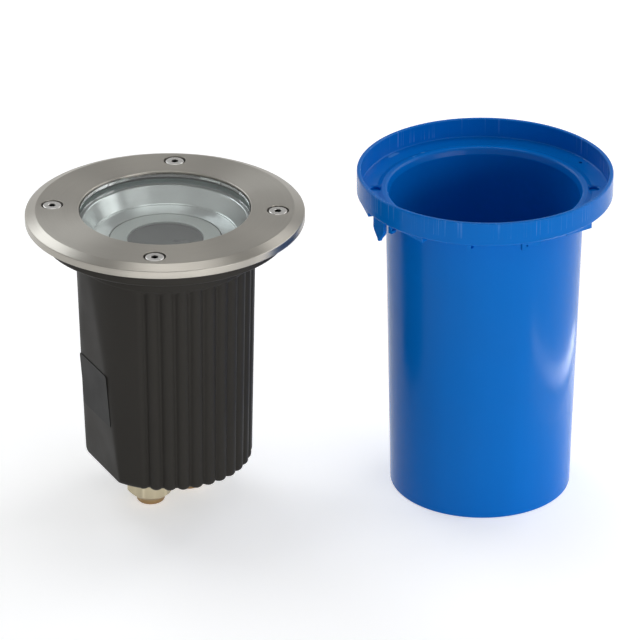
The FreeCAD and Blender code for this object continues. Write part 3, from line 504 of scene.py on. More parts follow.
def piece(bm: bmesh.types.BMesh, name: str, at: Vector, body: Body,
          material: bpy.types.Material, node: str, limit: float = SMOOTH_LIMIT) -> None:
    """Finish a mesh as a piece of the object.

    Args:
        bm: Mesh round the axis, in millimetres. It is freed.
        name: Name of the piece.
        at: Place of the axis.
        body: Body that the piece rides on.
        material: Finish of the piece.
        node: CAD node that it stands for.
        limit: Angle past which an edge is sharp.
    """
    move(bm, at)
    bmesh.ops.scale(bm, vec=(TO_METRES, TO_METRES, TO_METRES), verts=bm.verts[:])
    mesh = bpy.data.meshes.new(name)
    bm.to_mesh(mesh)
    bm.free()
    mesh.shade_smooth()
    mesh.set_sharp_from_angle(angle=limit)
    mesh.materials.append(material)
    obj = bpy.data.objects.new(name, mesh)
    bpy.context.scene.collection.objects.link(obj)
    even = obj.modifiers.new("even_shading", "WEIGHTED_NORMAL")
    even.keep_sharp = True
    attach(obj, body.value)
    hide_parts(node)
    LOG.info("piece %s on %s: %d faces", name, body.value, len(mesh.polygons))


# ---------------------------------------------------------------------------
# Shader groups and finishes
# ---------------------------------------------------------------------------


class Effect(Enum):
    """Shader groups that several finishes share."""

    GRAIN = "cast_grain"
    DRIFT = "tone_drift"
    LINES = "turned_lines"
    MARKS = "handling_marks"
    FLOW = "mould_flow"
    BAND = "level_band"
    # Lighter pointed edges, which several finishes use as a painted highlight.
    EDGE_HIGHLIGHT_AND_WEAR = "edge_highlight_and_wear"


@dataclass(frozen=True)
class Wiring:
    """A shader tree, with the kinds of node that the finishes are wired from.

    Args:
        tree: Tree that the nodes join.
    """

    tree: bpy.types.NodeTree

    def give(self, value: Fed, socket: Socket) -> None:
        """Set an input, or link it where the value is a socket.

        Args:
            value: Number, colour, place or socket.
            socket: Input that takes it.
        """
        if isinstance(value, Socket):
            self.tree.links.new(value, socket)
        else:
            socket.default_value = value

    def feed(self, node: bpy.types.Node, fed: dict[str | int, Fed]) -> None:
        """Give several inputs of a node their values, by name or number."""
        for name, value in fed.items():
            self.give(value, node.inputs[name])

    def add(self, kind: str, fed: dict[str | int, Fed] | None = None, **settings: object) -> bpy.types.Node:
        """Add a node.

        Args:
            kind: Kind of shader node.
            fed: Value of each input, by name or number.
            **settings: Settings of the node, such as its operation.

        Returns:
            The node.
        """
        node = self.tree.nodes.new("ShaderNode" + kind)
        for name, value in settings.items():
            setattr(node, name, value)
        self.feed(node, fed or {})
        return node

    def sockets(self, takes: dict[str, str], gives: dict[str, str]) -> list[Socket]:
        """Make a group's named sockets.

        Args:
            takes: Name and kind of each input.
            gives: Name and kind of each output.

        Returns:
            The sockets that stand for them inside the group, inputs first.
        """
        for names, side in ((takes, "INPUT"), (gives, "OUTPUT")):
            for name, kind in names.items():
                self.tree.interface.new_socket(name=name, in_out=side, socket_type="NodeSocket" + kind)
        first = self.tree.nodes.new("NodeGroupInput")
        last = self.tree.nodes.new("NodeGroupOutput")
        return [first.outputs[name] for name in takes] + [last.inputs[name] for name in gives]

    def group(self, effect: Effect, **fed: Fed) -> Socket:
        """Place a shared group, feed it and give its output."""
        return self.add("Group", fed, node_tree=SHELF.get(effect)).outputs[0]

    def maths(self, kind: str, *values: Fed) -> Socket:
        """Add a Math node and give its result."""
        return self.add("Math", dict(enumerate(values)), operation=kind).outputs[0]

    def noise(self, place: Socket, size: Fed, detail: float) -> Socket:
        """Add a noise pattern and give its value."""
        return self.add("TexNoise", {"Vector": place, "Scale": size, "Detail": detail}).outputs["Fac"]

    def ramp(self, value: Socket, low: Fed, high: Fed, first: float = 0.0, last: float = 1.0) -> Socket:
        """Turn a value between two levels into one that runs smoothly from first to last."""
        fed = {"Value": value, "From Min": low, "From Max": high, "To Min": first, "To Max": last}
        return self.add("MapRange", fed, interpolation_type="SMOOTHSTEP").outputs["Result"]

    def spread(self, mask: Socket, low: float, high: float) -> Socket:
        """Turn a mask of 0 to 1 into a value from low to high."""
        return self.add("MapRange", {"Value": mask, "To Min": low, "To Max": high}).outputs["Result"]

    def scaled(self, colour: Socket, factor: Socket) -> Socket:
        """Scale a colour."""
        return self.add("VectorMath", {0: colour, "Scale": factor}, operation="SCALE").outputs["Vector"]

    def parts(self, place: Socket) -> list[Socket]:
        """Part a place into X, Y and Z."""
        return list(self.add("SeparateXYZ", {0: place}).outputs)

    def joined(self, *values: Socket) -> Socket:
        """Join X, Y and Z into a place."""
        return self.add("CombineXYZ", dict(enumerate(values))).outputs["Vector"]

    def length(self, place: Socket) -> Socket:
        """Distance of a place from the origin."""
        return self.add("VectorMath", {0: place}, operation="LENGTH").outputs["Value"]

    def blend(self, mask: Socket, first: Fed, second: Fed) -> Socket:
        """Blend two colours by a mask.

        Args:
            mask: Mask from 0 to 1.
            first: Colour where the mask is 0.
            second: Colour where the mask is 1.

        Returns:
            The blended colour.
        """
        mix = self.add("Mix", {"Factor": mask}, data_type="RGBA")
        for name, colour in (("A", first), ("B", second)):
            self.give(colour, next(item for item in mix.inputs if item.name == name and item.type == "RGBA"))
        return next(item for item in mix.outputs if item.type == "RGBA")


class EffectShelf:
    """Builds each shared shader group once and hands it out."""

    # The orange peel under the fine grain: its cells and its height, as shares.
    PEEL_CELLS: ClassVar[float] = 0.28
    PEEL_HEIGHT: ClassVar[float] = 0.55

    def get(self, effect: Effect) -> bpy.types.NodeTree:
        """Give a shared group, built on first use.

        Args:
            effect: Group that is wanted.

        Returns:
            The group's node tree.
        """
        known = bpy.data.node_groups.get(effect.value)
        if known:
            return known
        tree = bpy.data.node_groups.new(effect.value, "ShaderNodeTree")
        makers = {
            Effect.GRAIN: self.grain, Effect.DRIFT: self.drift, Effect.LINES: self.lines,
            Effect.MARKS: self.marks, Effect.FLOW: self.flow, Effect.EDGE_HIGHLIGHT_AND_WEAR: self.highlight_and_wear,
            Effect.BAND: self.band}
        makers[effect](Wiring(tree))
        LOG.info("shader group %s", effect.value)
        return tree

    def grain(self, wires: Wiring) -> None:
        """Fine grain over a coarser orange peel, as a height.

        Args:
            wires: Wiring of the group.
        """
        place, cells, height = wires.sockets({"Place": "Vector", "Cells": "Float"}, {"Height": "Float"})
        fine = wires.noise(place, cells, detail=2.0)
        peel = wires.noise(place, wires.maths("MULTIPLY", cells, self.PEEL_CELLS), detail=1.0)
        rest = wires.maths("MULTIPLY", fine, 1.0 - self.PEEL_HEIGHT)
        wires.give(wires.maths("MULTIPLY_ADD", peel, self.PEEL_HEIGHT, rest), height)

    def drift(self, wires: Wiring) -> None:
        """A colour whose tone drifts slowly up and down.

        Args:
            wires: Wiring of the group.
        """
        place, cells, share, colour, drifted = wires.sockets(
            {"Place": "Vector", "Cells": "Float", "Share": "Float", "Colour": "Color"}, {"Colour": "Color"})
        swing = wires.maths("MULTIPLY_ADD", wires.noise(place, cells, detail=2.0), 2.0, -1.0)
        wires.give(wires.scaled(colour, wires.maths("MULTIPLY_ADD", swing, share, 1.0)), drifted)

    def lines(self, wires: Wiring) -> None:
        """Fine broken lines round an upright axis, as a lathe or a brush leaves them.

        Args:
            wires: Wiring of the group.
        """
        place, pitch, arcs, lines = wires.sockets(
            {"Place": "Vector", "Pitch": "Float", "Arcs": "Float"}, {"Lines": "Float"})
        east, north, up = wires.parts(place)
        level = wires.joined(east, north)
        unit = wires.add("VectorMath", {0: level}, operation="NORMALIZE").outputs["Vector"]
        down = wires.maths("SUBTRACT", wires.length(level), up)
        around = [wires.maths("MULTIPLY", part, arcs) for part in wires.parts(unit)[:2]]
        line = wires.joined(wires.maths("MULTIPLY", down, pitch), *around)
        wires.give(wires.noise(line, 1.0, detail=3.0), lines)

    def marks(self, wires: Wiring) -> None:
        """Soft patches where hands and cloths have changed the gloss.

        Args:
            wires: Wiring of the group.
        """
        place, cells, spread, mask = wires.sockets(
            {"Place": "Vector", "Cells": "Float", "Spread": "Float"}, {"Mask": "Float"})
        low, high = (wires.maths(kind, 0.5, spread) for kind in ("SUBTRACT", "ADD"))
        wires.give(wires.ramp(wires.noise(place, cells, detail=4.0), low, high), mask)

    def flow(self, wires: Wiring) -> None:
        """Faint upright streaks, as draw marks from a mould.

        Args:
            wires: Wiring of the group.
        """
        place, across, along, streaks = wires.sockets(
            {"Place": "Vector", "Across": "Float", "Along": "Float"}, {"Streaks": "Float"})
        stretched = [wires.maths("MULTIPLY", part, share)
                     for part, share in zip(wires.parts(place), (across, across, along))]
        wires.give(wires.noise(wires.joined(*stretched), 1.0, detail=3.0), streaks)

    def band(self, wires: Wiring) -> None:
        """Mask that rises from one level to another."""
        place, low, high, mask = wires.sockets(
            {"Place": "Vector", "Low": "Float", "High": "Float"}, {"Mask": "Float"})
        wires.give(wires.ramp(wires.parts(place)[2], low, high), mask)

    def highlight_and_wear(self, wires: Wiring) -> None:
        """Mask of raised edges, from how pointed the surface is, where several finishes paint a lighter
        colour as a highlight.
        """
        pointed, low, high, mask = wires.sockets(
            {"Pointed": "Float", "Low": "Float", "High": "Float"}, {"Mask": "Float"})
        wires.give(wires.ramp(pointed, low, high), mask)


SHELF = EffectShelf()


@dataclass(frozen=True)
class Finish:
    """A finish with its grain, its drift of tone and the marks of how it was made, and on some finishes
    painted highlights along edges and painted shade low in sockets.

    Args:
        name: Name of the material.
        colour: Linear base colour.
        roughness: Middle roughness.
        metallic: 1 for bare metal.
        specular: Specular level of a coating or plastic.
        coat: Weight of a clear coat.
        coat_roughness: Roughness of the clear coat.
        grain: Grain cells per metre.
        relief: Height of the grain, in metres.
        drift: How far the tone drifts, as a share.
        drift_cells: Cells of the drift per metre.
        patchy: How far handling marks change the roughness.
        mark_cells: Cells of the handling marks per metre.
        pitch: Turned lines per metre, or 0 for none.
        line_relief: Height of the turned lines, in metres.
        line_tone: How far the turned lines change the tone, as a share.
        brushed: Anisotropy of a brushed or turned metal.
        flow: How far draw streaks change the tone, as a share.
        edge: Colour of pointed edges, or None; it is lighter than the base on every finish, and on the
            sleeve, the screws and the glands it is a painted highlight.
        edge_from: How pointed the surface is where the edge colour starts.
        edge_to: How pointed it is where the edge colour is full.
        low_tone: Colour of its lowest part, or None: the glands' darker nose, and painted shade down the
            screws' sockets.
        low_band: Levels between which that colour fades out, in metres.
        scuff: Colour of fine upright scuffs, or None.
        scuff_from: Level above which the scuffs lie, in metres.
    """

    # How far apart the lines, streaks and patches of every finish lie, per metre, and how soft they are.
    LINE_ARCS: ClassVar[float] = 1.6
    FLOW_CELLS: ClassVar[dict[str, float]] = {"Across": 70.0, "Along": 3.0}
    SCUFF_CELLS: ClassVar[dict[str, float]] = {"Across": 900.0, "Along": 14.0}
    SCUFF_PATCHES: ClassVar[dict[str, float]] = {"Cells": 36.0, "Spread": 0.1}
    SCUFF_RANGE: ClassVar[tuple[float, float]] = (0.54, 0.78)
    SCUFF_FADE: ClassVar[float] = 0.001
    MARK_SPREAD: ClassVar[float] = 0.22
    BUMP_STRENGTH: ClassVar[float] = 0.6

    name: str
    colour: Colour
    roughness: float = 0.5
    metallic: float = 0.0
    specular: float = 0.5
    coat: float = 0.0
    coat_roughness: float = 0.1
    grain: float = 1500.0
    relief: float = 0.00001
    drift: float = 0.05
    drift_cells: float = 30.0
    patchy: float = 0.05
    mark_cells: float = 60.0
    pitch: float = 0.0
    line_relief: float = 0.0
    line_tone: float = 0.0
    brushed: float = 0.0
    flow: float = 0.0
    edge: Colour | None = None
    edge_from: float = 0.52
    edge_to: float = 0.6
    low_tone: Colour | None = None
    low_band: tuple[float, float] = (0.0, 0.001)
    scuff: Colour | None = None
    scuff_from: float = 0.0

    def material(self, at: Vector = CENTRE) -> bpy.types.Material:
        """Build the finish, once.

        Args:
            at: Axis that its turned lines run round, in millimetres.

        Returns:
            The material.
        """
        known = bpy.data.materials.get(self.name)
        if known:
            return known
        made = bpy.data.materials.new(self.name)
        made.use_nodes = True
        wires = Wiring(made.node_tree)
        place = wires.add("Mapping", {
            "Vector": wires.add("TexCoord").outputs["Object"],
            "Location": (-at.x * TO_METRES, -at.y * TO_METRES, 0.0)}).outputs["Vector"]
        lines = None
        if self.pitch:
            lines = wires.group(Effect.LINES, Place=place, Pitch=self.pitch, Arcs=self.LINE_ARCS)
        fed = {
            "Metallic": self.metallic, "Specular IOR Level": self.specular, "Coat Weight": self.coat,
            "Coat Roughness": self.coat_roughness, "Anisotropic": self.brushed,
            "Base Color": self.paint(wires, place, lines), "Roughness": self.gloss(wires, place, lines)}
        normal = self.surface(wires, place, lines)
        if normal is not None:
            fed["Normal"] = normal
        if self.brushed:
            tangent = wires.add("Tangent", direction_type="UV_MAP", uv_map=TURNING)
            fed["Tangent"] = tangent.outputs["Tangent"]
        wires.feed(made.node_tree.nodes["Principled BSDF"], fed)
        return made

    @staticmethod
    def tint(wires: Wiring, colour: Socket, mask: Socket, share: float) -> Socket:
        """Make a colour darker and lighter by a share, after a mask."""
        return wires.scaled(colour, wires.spread(mask, 1.0 - share, 1.0 + share))

    def paint(self, wires: Wiring, place: Socket, lines: Socket | None) -> Socket:
        """Mix the base colour from the drift, the lines, the streaks, the edge colour (a painted highlight on
        several finishes), the scuffs and the low tone.

        Args:
            wires: Wiring of the material.
            place: Place on the object.
            lines: Turned lines, if it has them.

        Returns:
            The colour.
        """
        colour = wires.group(
            Effect.DRIFT, Place=place, Cells=self.drift_cells, Share=self.drift, Colour=self.colour)
        if lines is not None and self.line_tone:
            colour = self.tint(wires, colour, lines, self.line_tone)
        if self.flow:
            streaks = wires.group(Effect.FLOW, Place=place, **self.FLOW_CELLS)
            colour = self.tint(wires, colour, streaks, self.flow)
        # Lighter pointed edges: a painted highlight on the sleeve, the screws and the glands.
        if self.edge:
            pointed = wires.add("NewGeometry").outputs["Pointiness"]
            highlight_and_wear_mask = wires.group(Effect.EDGE_HIGHLIGHT_AND_WEAR, Pointed=pointed, Low=self.edge_from, High=self.edge_to)
            colour = wires.blend(highlight_and_wear_mask, colour, self.edge)
        if self.scuff:
            colour = wires.blend(self.scuffs(wires, place), colour, self.scuff)
        # The low tone is the glands' darker nose, and painted shade down the screws' sockets and heads.
        if self.low_tone:
            above = wires.group(Effect.BAND, Place=place, Low=self.low_band[0], High=self.low_band[1])
            colour = wires.blend(above, self.low_tone, colour)
        return colour

    def scuffs(self, wires: Wiring, place: Socket) -> Socket:
        """Mask fine upright scuffs, in patches above a level.

        Args:
            wires: Wiring of the material.
            place: Place on the object.

        Returns:
            The mask.
        """
        thin = wires.ramp(wires.group(Effect.FLOW, Place=place, **self.SCUFF_CELLS), *self.SCUFF_RANGE)
        patches = wires.group(Effect.MARKS, Place=place, **self.SCUFF_PATCHES)
        high = wires.group(
            Effect.BAND, Place=place, Low=self.scuff_from, High=self.scuff_from + self.SCUFF_FADE)
        return wires.maths("MULTIPLY", thin, wires.maths("MULTIPLY", patches, high))

    def gloss(self, wires: Wiring, place: Socket, lines: Socket | None) -> Socket:
        """Vary the roughness with handling marks and, half and half, lines.

        Args:
            wires: Wiring of the material.
            place: Place on the object.
            lines: Turned lines, if it has them.

        Returns:
            The roughness.
        """
        mask = wires.group(Effect.MARKS, Place=place, Cells=self.mark_cells, Spread=self.MARK_SPREAD)
        if lines is not None:
            mask = wires.maths("MULTIPLY_ADD", lines, 0.5, wires.maths("MULTIPLY", mask, 0.5))
        return wires.spread(mask, max(self.roughness - self.patchy, 0.0), self.roughness + self.patchy)

    def surface(self, wires: Wiring, place: Socket, lines: Socket | None) -> Socket | None:
        """Raise the grain and the lines as a bump.

        Args:
            wires: Wiring of the material.
            place: Place on the object.
            lines: Turned lines, if it has them.

        Returns:
            The normal, or None for a surface without relief.
        """
        heights = []
        if self.relief:
            heights.append((wires.group(Effect.GRAIN, Place=place, Cells=self.grain), self.relief))
        if lines is not None and self.line_relief:
            heights.append((lines, self.line_relief))
        normal = None
        for height, distance in heights:
            bump = wires.add(
                "Bump", {"Strength": self.BUMP_STRENGTH, "Distance": distance, "Height": height})
            if normal is not None:
                wires.give(normal, bump.inputs["Normal"])
            normal = bump.outputs["Normal"]
        return normal


@dataclass(frozen=True)
class ClearGlass(Finish):
    """Clear toughened glass with a faint green depth.

    Args:
        index: Index of refraction.
    """

    index: float = 1.5

    def material(self, at: Vector = CENTRE) -> bpy.types.Material:
        """Build the finish, and let light through it.

        Args:
            at: Axis of the glass, in millimetres.

        Returns:
            The material.
        """
        made = super().material(at)
        shader = made.node_tree.nodes["Principled BSDF"]
        Wiring(made.node_tree).feed(shader, {"Transmission Weight": 1.0, "IOR": self.index})
        return made


STEEL = Finish(
    "turned_stainless", rgb(166, 162, 154), 0.36, 1.0, relief=0.0, drift=0.06, drift_cells=22.0, patchy=0.05,
    mark_cells=45.0, pitch=9000.0, line_relief=0.000005, line_tone=0.12, brushed=0.75)
# Its edge colour is a painted highlight on the head's edges, and its low tone is painted shade down the
# socket and the head's side in the counterbore.
SCREW_STEEL = Finish(
    "screw_stainless", rgb(204, 202, 198), 0.3, 1.0, relief=0.000004, grain=3000.0, drift=0.06,
    edge=rgb(236, 236, 234), edge_from=0.54, edge_to=0.62, low_tone=rgb(14, 14, 14),
    low_band=(0.1427, 0.1434))
GLASS = ClearGlass("toughened_glass", rgb(251, 254, 253), 0.01, relief=0.0, drift=0.01, patchy=0.01)
SILICONE = Finish("grey_silicone", rgb(128, 150, 146), 0.5, specular=0.3, relief=0.000008)
CASTING = Finish(
    "black_powder_coat", rgb(53, 51, 48), 0.45, specular=0.08, grain=2600.0, relief=0.000022, drift=0.1,
    drift_cells=24.0, patchy=0.06, mark_cells=35.0, edge=rgb(60, 58, 54), edge_from=0.515, edge_to=0.58)
LABEL = Finish("black_label", rgb(37, 37, 36), 0.36, specular=0.05, relief=0.000003, grain=2000.0,
               edge=rgb(76, 76, 75), edge_from=0.56, edge_to=0.66)
ALUMINIUM = Finish(
    "spun_aluminium", rgb(214, 218, 217), 0.3, 1.0, relief=0.0, drift=0.04, patchy=0.01, pitch=5000.0,
    line_relief=0.000004, line_tone=0.08, brushed=0.8)
LAMP_SILVER = Finish(
    "lamp_front_satin", rgb(206, 212, 208), 0.42, 0.35, specular=0.4, relief=0.000006, grain=2500.0,
    drift=0.04)
LAMP_LENS = Finish("lamp_window_grey", rgb(56, 59, 58), 0.32, specular=0.35, coat=0.25,
                   coat_roughness=0.12, relief=0.000004, grain=1200.0, drift=0.12, drift_cells=45.0)
LAMP_WHITE = Finish("lamp_base_plastic", rgb(226, 225, 219), 0.42, specular=0.4, drift=0.03)
PIN_METAL = Finish("nickel_pin", rgb(200, 198, 190), 0.35, 1.0, relief=0.000003)
CERAMIC = Finish("holder_steatite", rgb(228, 223, 210), 0.5, specular=0.35, grain=2200.0, relief=0.000014,
                 drift=0.05, drift_cells=80.0)
ZINC = Finish("zinc_plated_steel", rgb(186, 190, 198), 0.36, 1.0, relief=0.000006, drift=0.1,
              drift_cells=120.0)
BLOCK_PLASTIC = Finish("terminal_nylon", rgb(226, 226, 219), 0.45, specular=0.4, drift=0.03)
TERMINAL_BRASS = Finish("terminal_brass_plain", rgb(205, 176, 110), 0.36, 1.0, relief=0.000004, drift=0.08)
LEAD_WHITE = Finish("lead_silicone_white", rgb(222, 220, 211), 0.55, specular=0.3, grain=4000.0,
                    relief=0.00002)
LEAD_GREEN = Finish("lead_earth_green", rgb(86, 150, 52), 0.5, specular=0.35, drift=0.06)
# Its edge colour is a painted highlight on the hexagon's edges; its low tone is the darker colour of the
# nose.
GLAND_BRASS = Finish(
    "gland_brass_pale", rgb(176, 165, 138), 0.36, 1.0, relief=0.000006, grain=2400.0, drift=0.12,
    drift_cells=110.0, patchy=0.06, edge=rgb(236, 226, 198), edge_from=0.54, edge_to=0.64,
    low_tone=rgb(152, 124, 86), low_band=(0.001, 0.0055))
RUBBER = Finish("black_rubber", rgb(26, 26, 27), 0.62, specular=0.3, grain=2600.0, relief=0.00001)
# Its edge colour is a painted highlight along the sleeve's edges.
BLUE = Finish(
    "blue_sleeve_plastic", rgb(0, 109, 200), 0.19, specular=0.11, grain=420.0, relief=0.000012, drift=0.03,
    drift_cells=14.0, patchy=0.05, mark_cells=28.0, flow=0.05, edge=rgb(70, 138, 210), edge_from=0.56,
    edge_to=0.68, scuff=rgb(84, 140, 214), scuff_from=0.1475)

# Finishes of the CAD nodes that stay as they are.
CARRIED = {
    "lamp_base": LAMP_WHITE, "lamp_pins": PIN_METAL, "lampholder": CERAMIC, "holder_screws": ZINC,
    "holder_bracket": ZINC, "bracket_screws": ZINC, "terminal_block": BLOCK_PLASTIC,
    "terminal_barrels": TERMINAL_BRASS, "terminal_screws": ZINC, "block_screw": ZINC,
    "lamp_leads": LEAD_WHITE, "earth_lead": LEAD_GREEN, "earth_lug": ZINC, "earth_screw": TERMINAL_BRASS,
    "gland_bodies": GLAND_BRASS, "gland_seals": RUBBER, "gland_washers": RUBBER,
    "gland_locknuts": GLAND_BRASS}


# ---------------------------------------------------------------------------
# Sub-assemblies
# ---------------------------------------------------------------------------


@dataclass
class Assembly:
    """Pieces that stand round one upright axis.

    Args:
        axis: Place of the axis, taken from a CAD node.
    """

    NODE: ClassVar[str] = "trim_ring"

    axis: Vector = field(init=False)

    def __post_init__(self) -> None:
        """Take the axis from the frame."""
        self.axis = axis_of(self.NODE)


@dataclass
class Cover(Assembly):
    """Trim ring with its screws, the stepped glass and its seal."""

    ring_radius: float = 62.5
    top: float = 144.0
    under: float = 138.8
    rebate: float = 55.4
    bevel_wide: float = 4.7
    bevel_high: float = 1.8
    opening: float = 38.4
    top_pitch: float = 2.1
    under_pitch: float = 1.4
    counterbore: float = 4.95
    counterbore_level: float = 141.2
    mouth: float = 0.22
    mouth_mid: float = 0.06
    hole: float = 2.8
    head: float = 4.2
    head_high: float = 2.6
    head_flat: float = 2.3
    socket: float = 3.0
    socket_deep: float = 1.7
    socket_chamfer: float = 0.14
    shank: float = 2.5
    screw_long: float = 8.0
    screw_spread: float = 1.7
    glass_out: float = 42.5
    glass_centre: float = 38.1
    glass_top: float = 143.0
    seal_out: float = 43.5
    seal_groove: float = 42.6
    seal_in: float = 39.0

    def build_ring(self) -> None:
        """Build the bevelled ring with its four counterbored holes."""
        corners = flat([self.opening, *bands(self.under_pitch), self.rebate], RING_SEAT)
        corners += [
            Corner(self.rebate, self.under), Corner(self.ring_radius, self.under, 0.3),
            Corner(self.ring_radius, self.top - self.bevel_high, 0.6),
            Corner(self.ring_radius - self.bevel_wide, self.top, 0.6)]
        corners += flat(reversed(bands(self.top_pitch)), self.top)
        corners.append(Corner(self.opening, self.top, 0.4))
        bm = turned(corners, steps=FINE_STEPS, first=SCREW_ANGLES[0])
        circles = (
            (self.counterbore + self.mouth, self.top),
            (self.counterbore + self.mouth_mid, self.top - self.mouth_mid),
            (self.counterbore, self.top - self.mouth), (self.counterbore, self.counterbore_level),
            (self.hole, self.counterbore_level), (self.hole, RING_SEAT))
        for angle in SCREW_ANGLES:
            bore = Bore(SCREW_OUT, angle, circles, reach_out=6.0, reach_round=8.0)
            sink(bm, bore, self.top, RING_SEAT)
        lay_turning(bm)
        piece(bm, "ring_plate", self.axis, Body.COVER, STEEL.material(self.axis), "trim_ring")

    def build_screws(self) -> None:
        """Build the four socket screws that stand in the ring's counterbores."""
        low = self.counterbore_level
        top = low + self.head_high
        tip = low - self.screw_long
        whole = bmesh.new()
        for angle in SCREW_ANGLES:
            bm = bmesh.new()
            section(bm, [
                Corner(self.head_flat, top), Corner(self.head, top, 0.5), Corner(self.head, low),
                Corner(self.shank, low), Corner(self.shank, tip, 0.5), Corner(0.0, tip)])
            spun(bm, steps=60)
            rim = [edge for edge in bm.edges if edge.is_boundary]
            for proud, level in ((self.socket_chamfer, top), (0.0, top - self.socket_chamfer),
                                 (0.0, top - self.socket_deep)):
                rim = draw_in(bm, rim, lambda azimuth, proud=proud, level=level: (
                    hexagon_out(self.socket, azimuth) + proud, level))
            bmesh.ops.edgeloop_fill(bm, edges=rim)
            face_out(bm)
            turn(bm, angle * self.screw_spread)
            move(bm, polar(SCREW_OUT, angle, 0.0))
            join(whole, bm)
        piece(whole, "ring_screws", self.axis, Body.COVER, SCREW_STEEL.material(), "trim_screws")

    def build_glass(self) -> None:
        """Build the glass: a centre that fills the opening and a flange under the ring."""
        bm = turned([
            Corner(0.0, GLASS_UNDER), Corner(self.glass_out, GLASS_UNDER, 0.3),
            Corner(self.glass_out, GLASS_STEP, 0.3), Corner(self.glass_centre, GLASS_STEP),
            Corner(self.glass_centre, self.glass_top, 0.3), Corner(0.0, self.glass_top)],
            closed=False, steps=FINE_STEPS)
        piece(bm, "lens_disc", self.axis, Body.COVER, GLASS.material(self.axis), "glass_lens")

    def build_seal(self) -> None:
        """Build the silicone seal of U section round the glass."""
        bm = turned([
            Corner(self.seal_in, PAN_SEAT, 0.2), Corner(self.seal_out, PAN_SEAT, 0.4),
            Corner(self.seal_out, RING_SEAT), Corner(self.opening, RING_SEAT),
            Corner(self.opening, GLASS_STEP), Corner(self.seal_groove, GLASS_STEP),
            Corner(self.seal_groove, GLASS_UNDER), Corner(self.seal_in, GLASS_UNDER, 0.2)])
        piece(bm, "lens_seal", self.axis, Body.COVER, SILICONE.material(), "lens_gasket")

    def build(self) -> None:
        """Build the cover."""
        for make in (self.build_ring, self.build_screws, self.build_glass, self.build_seal):
            make()


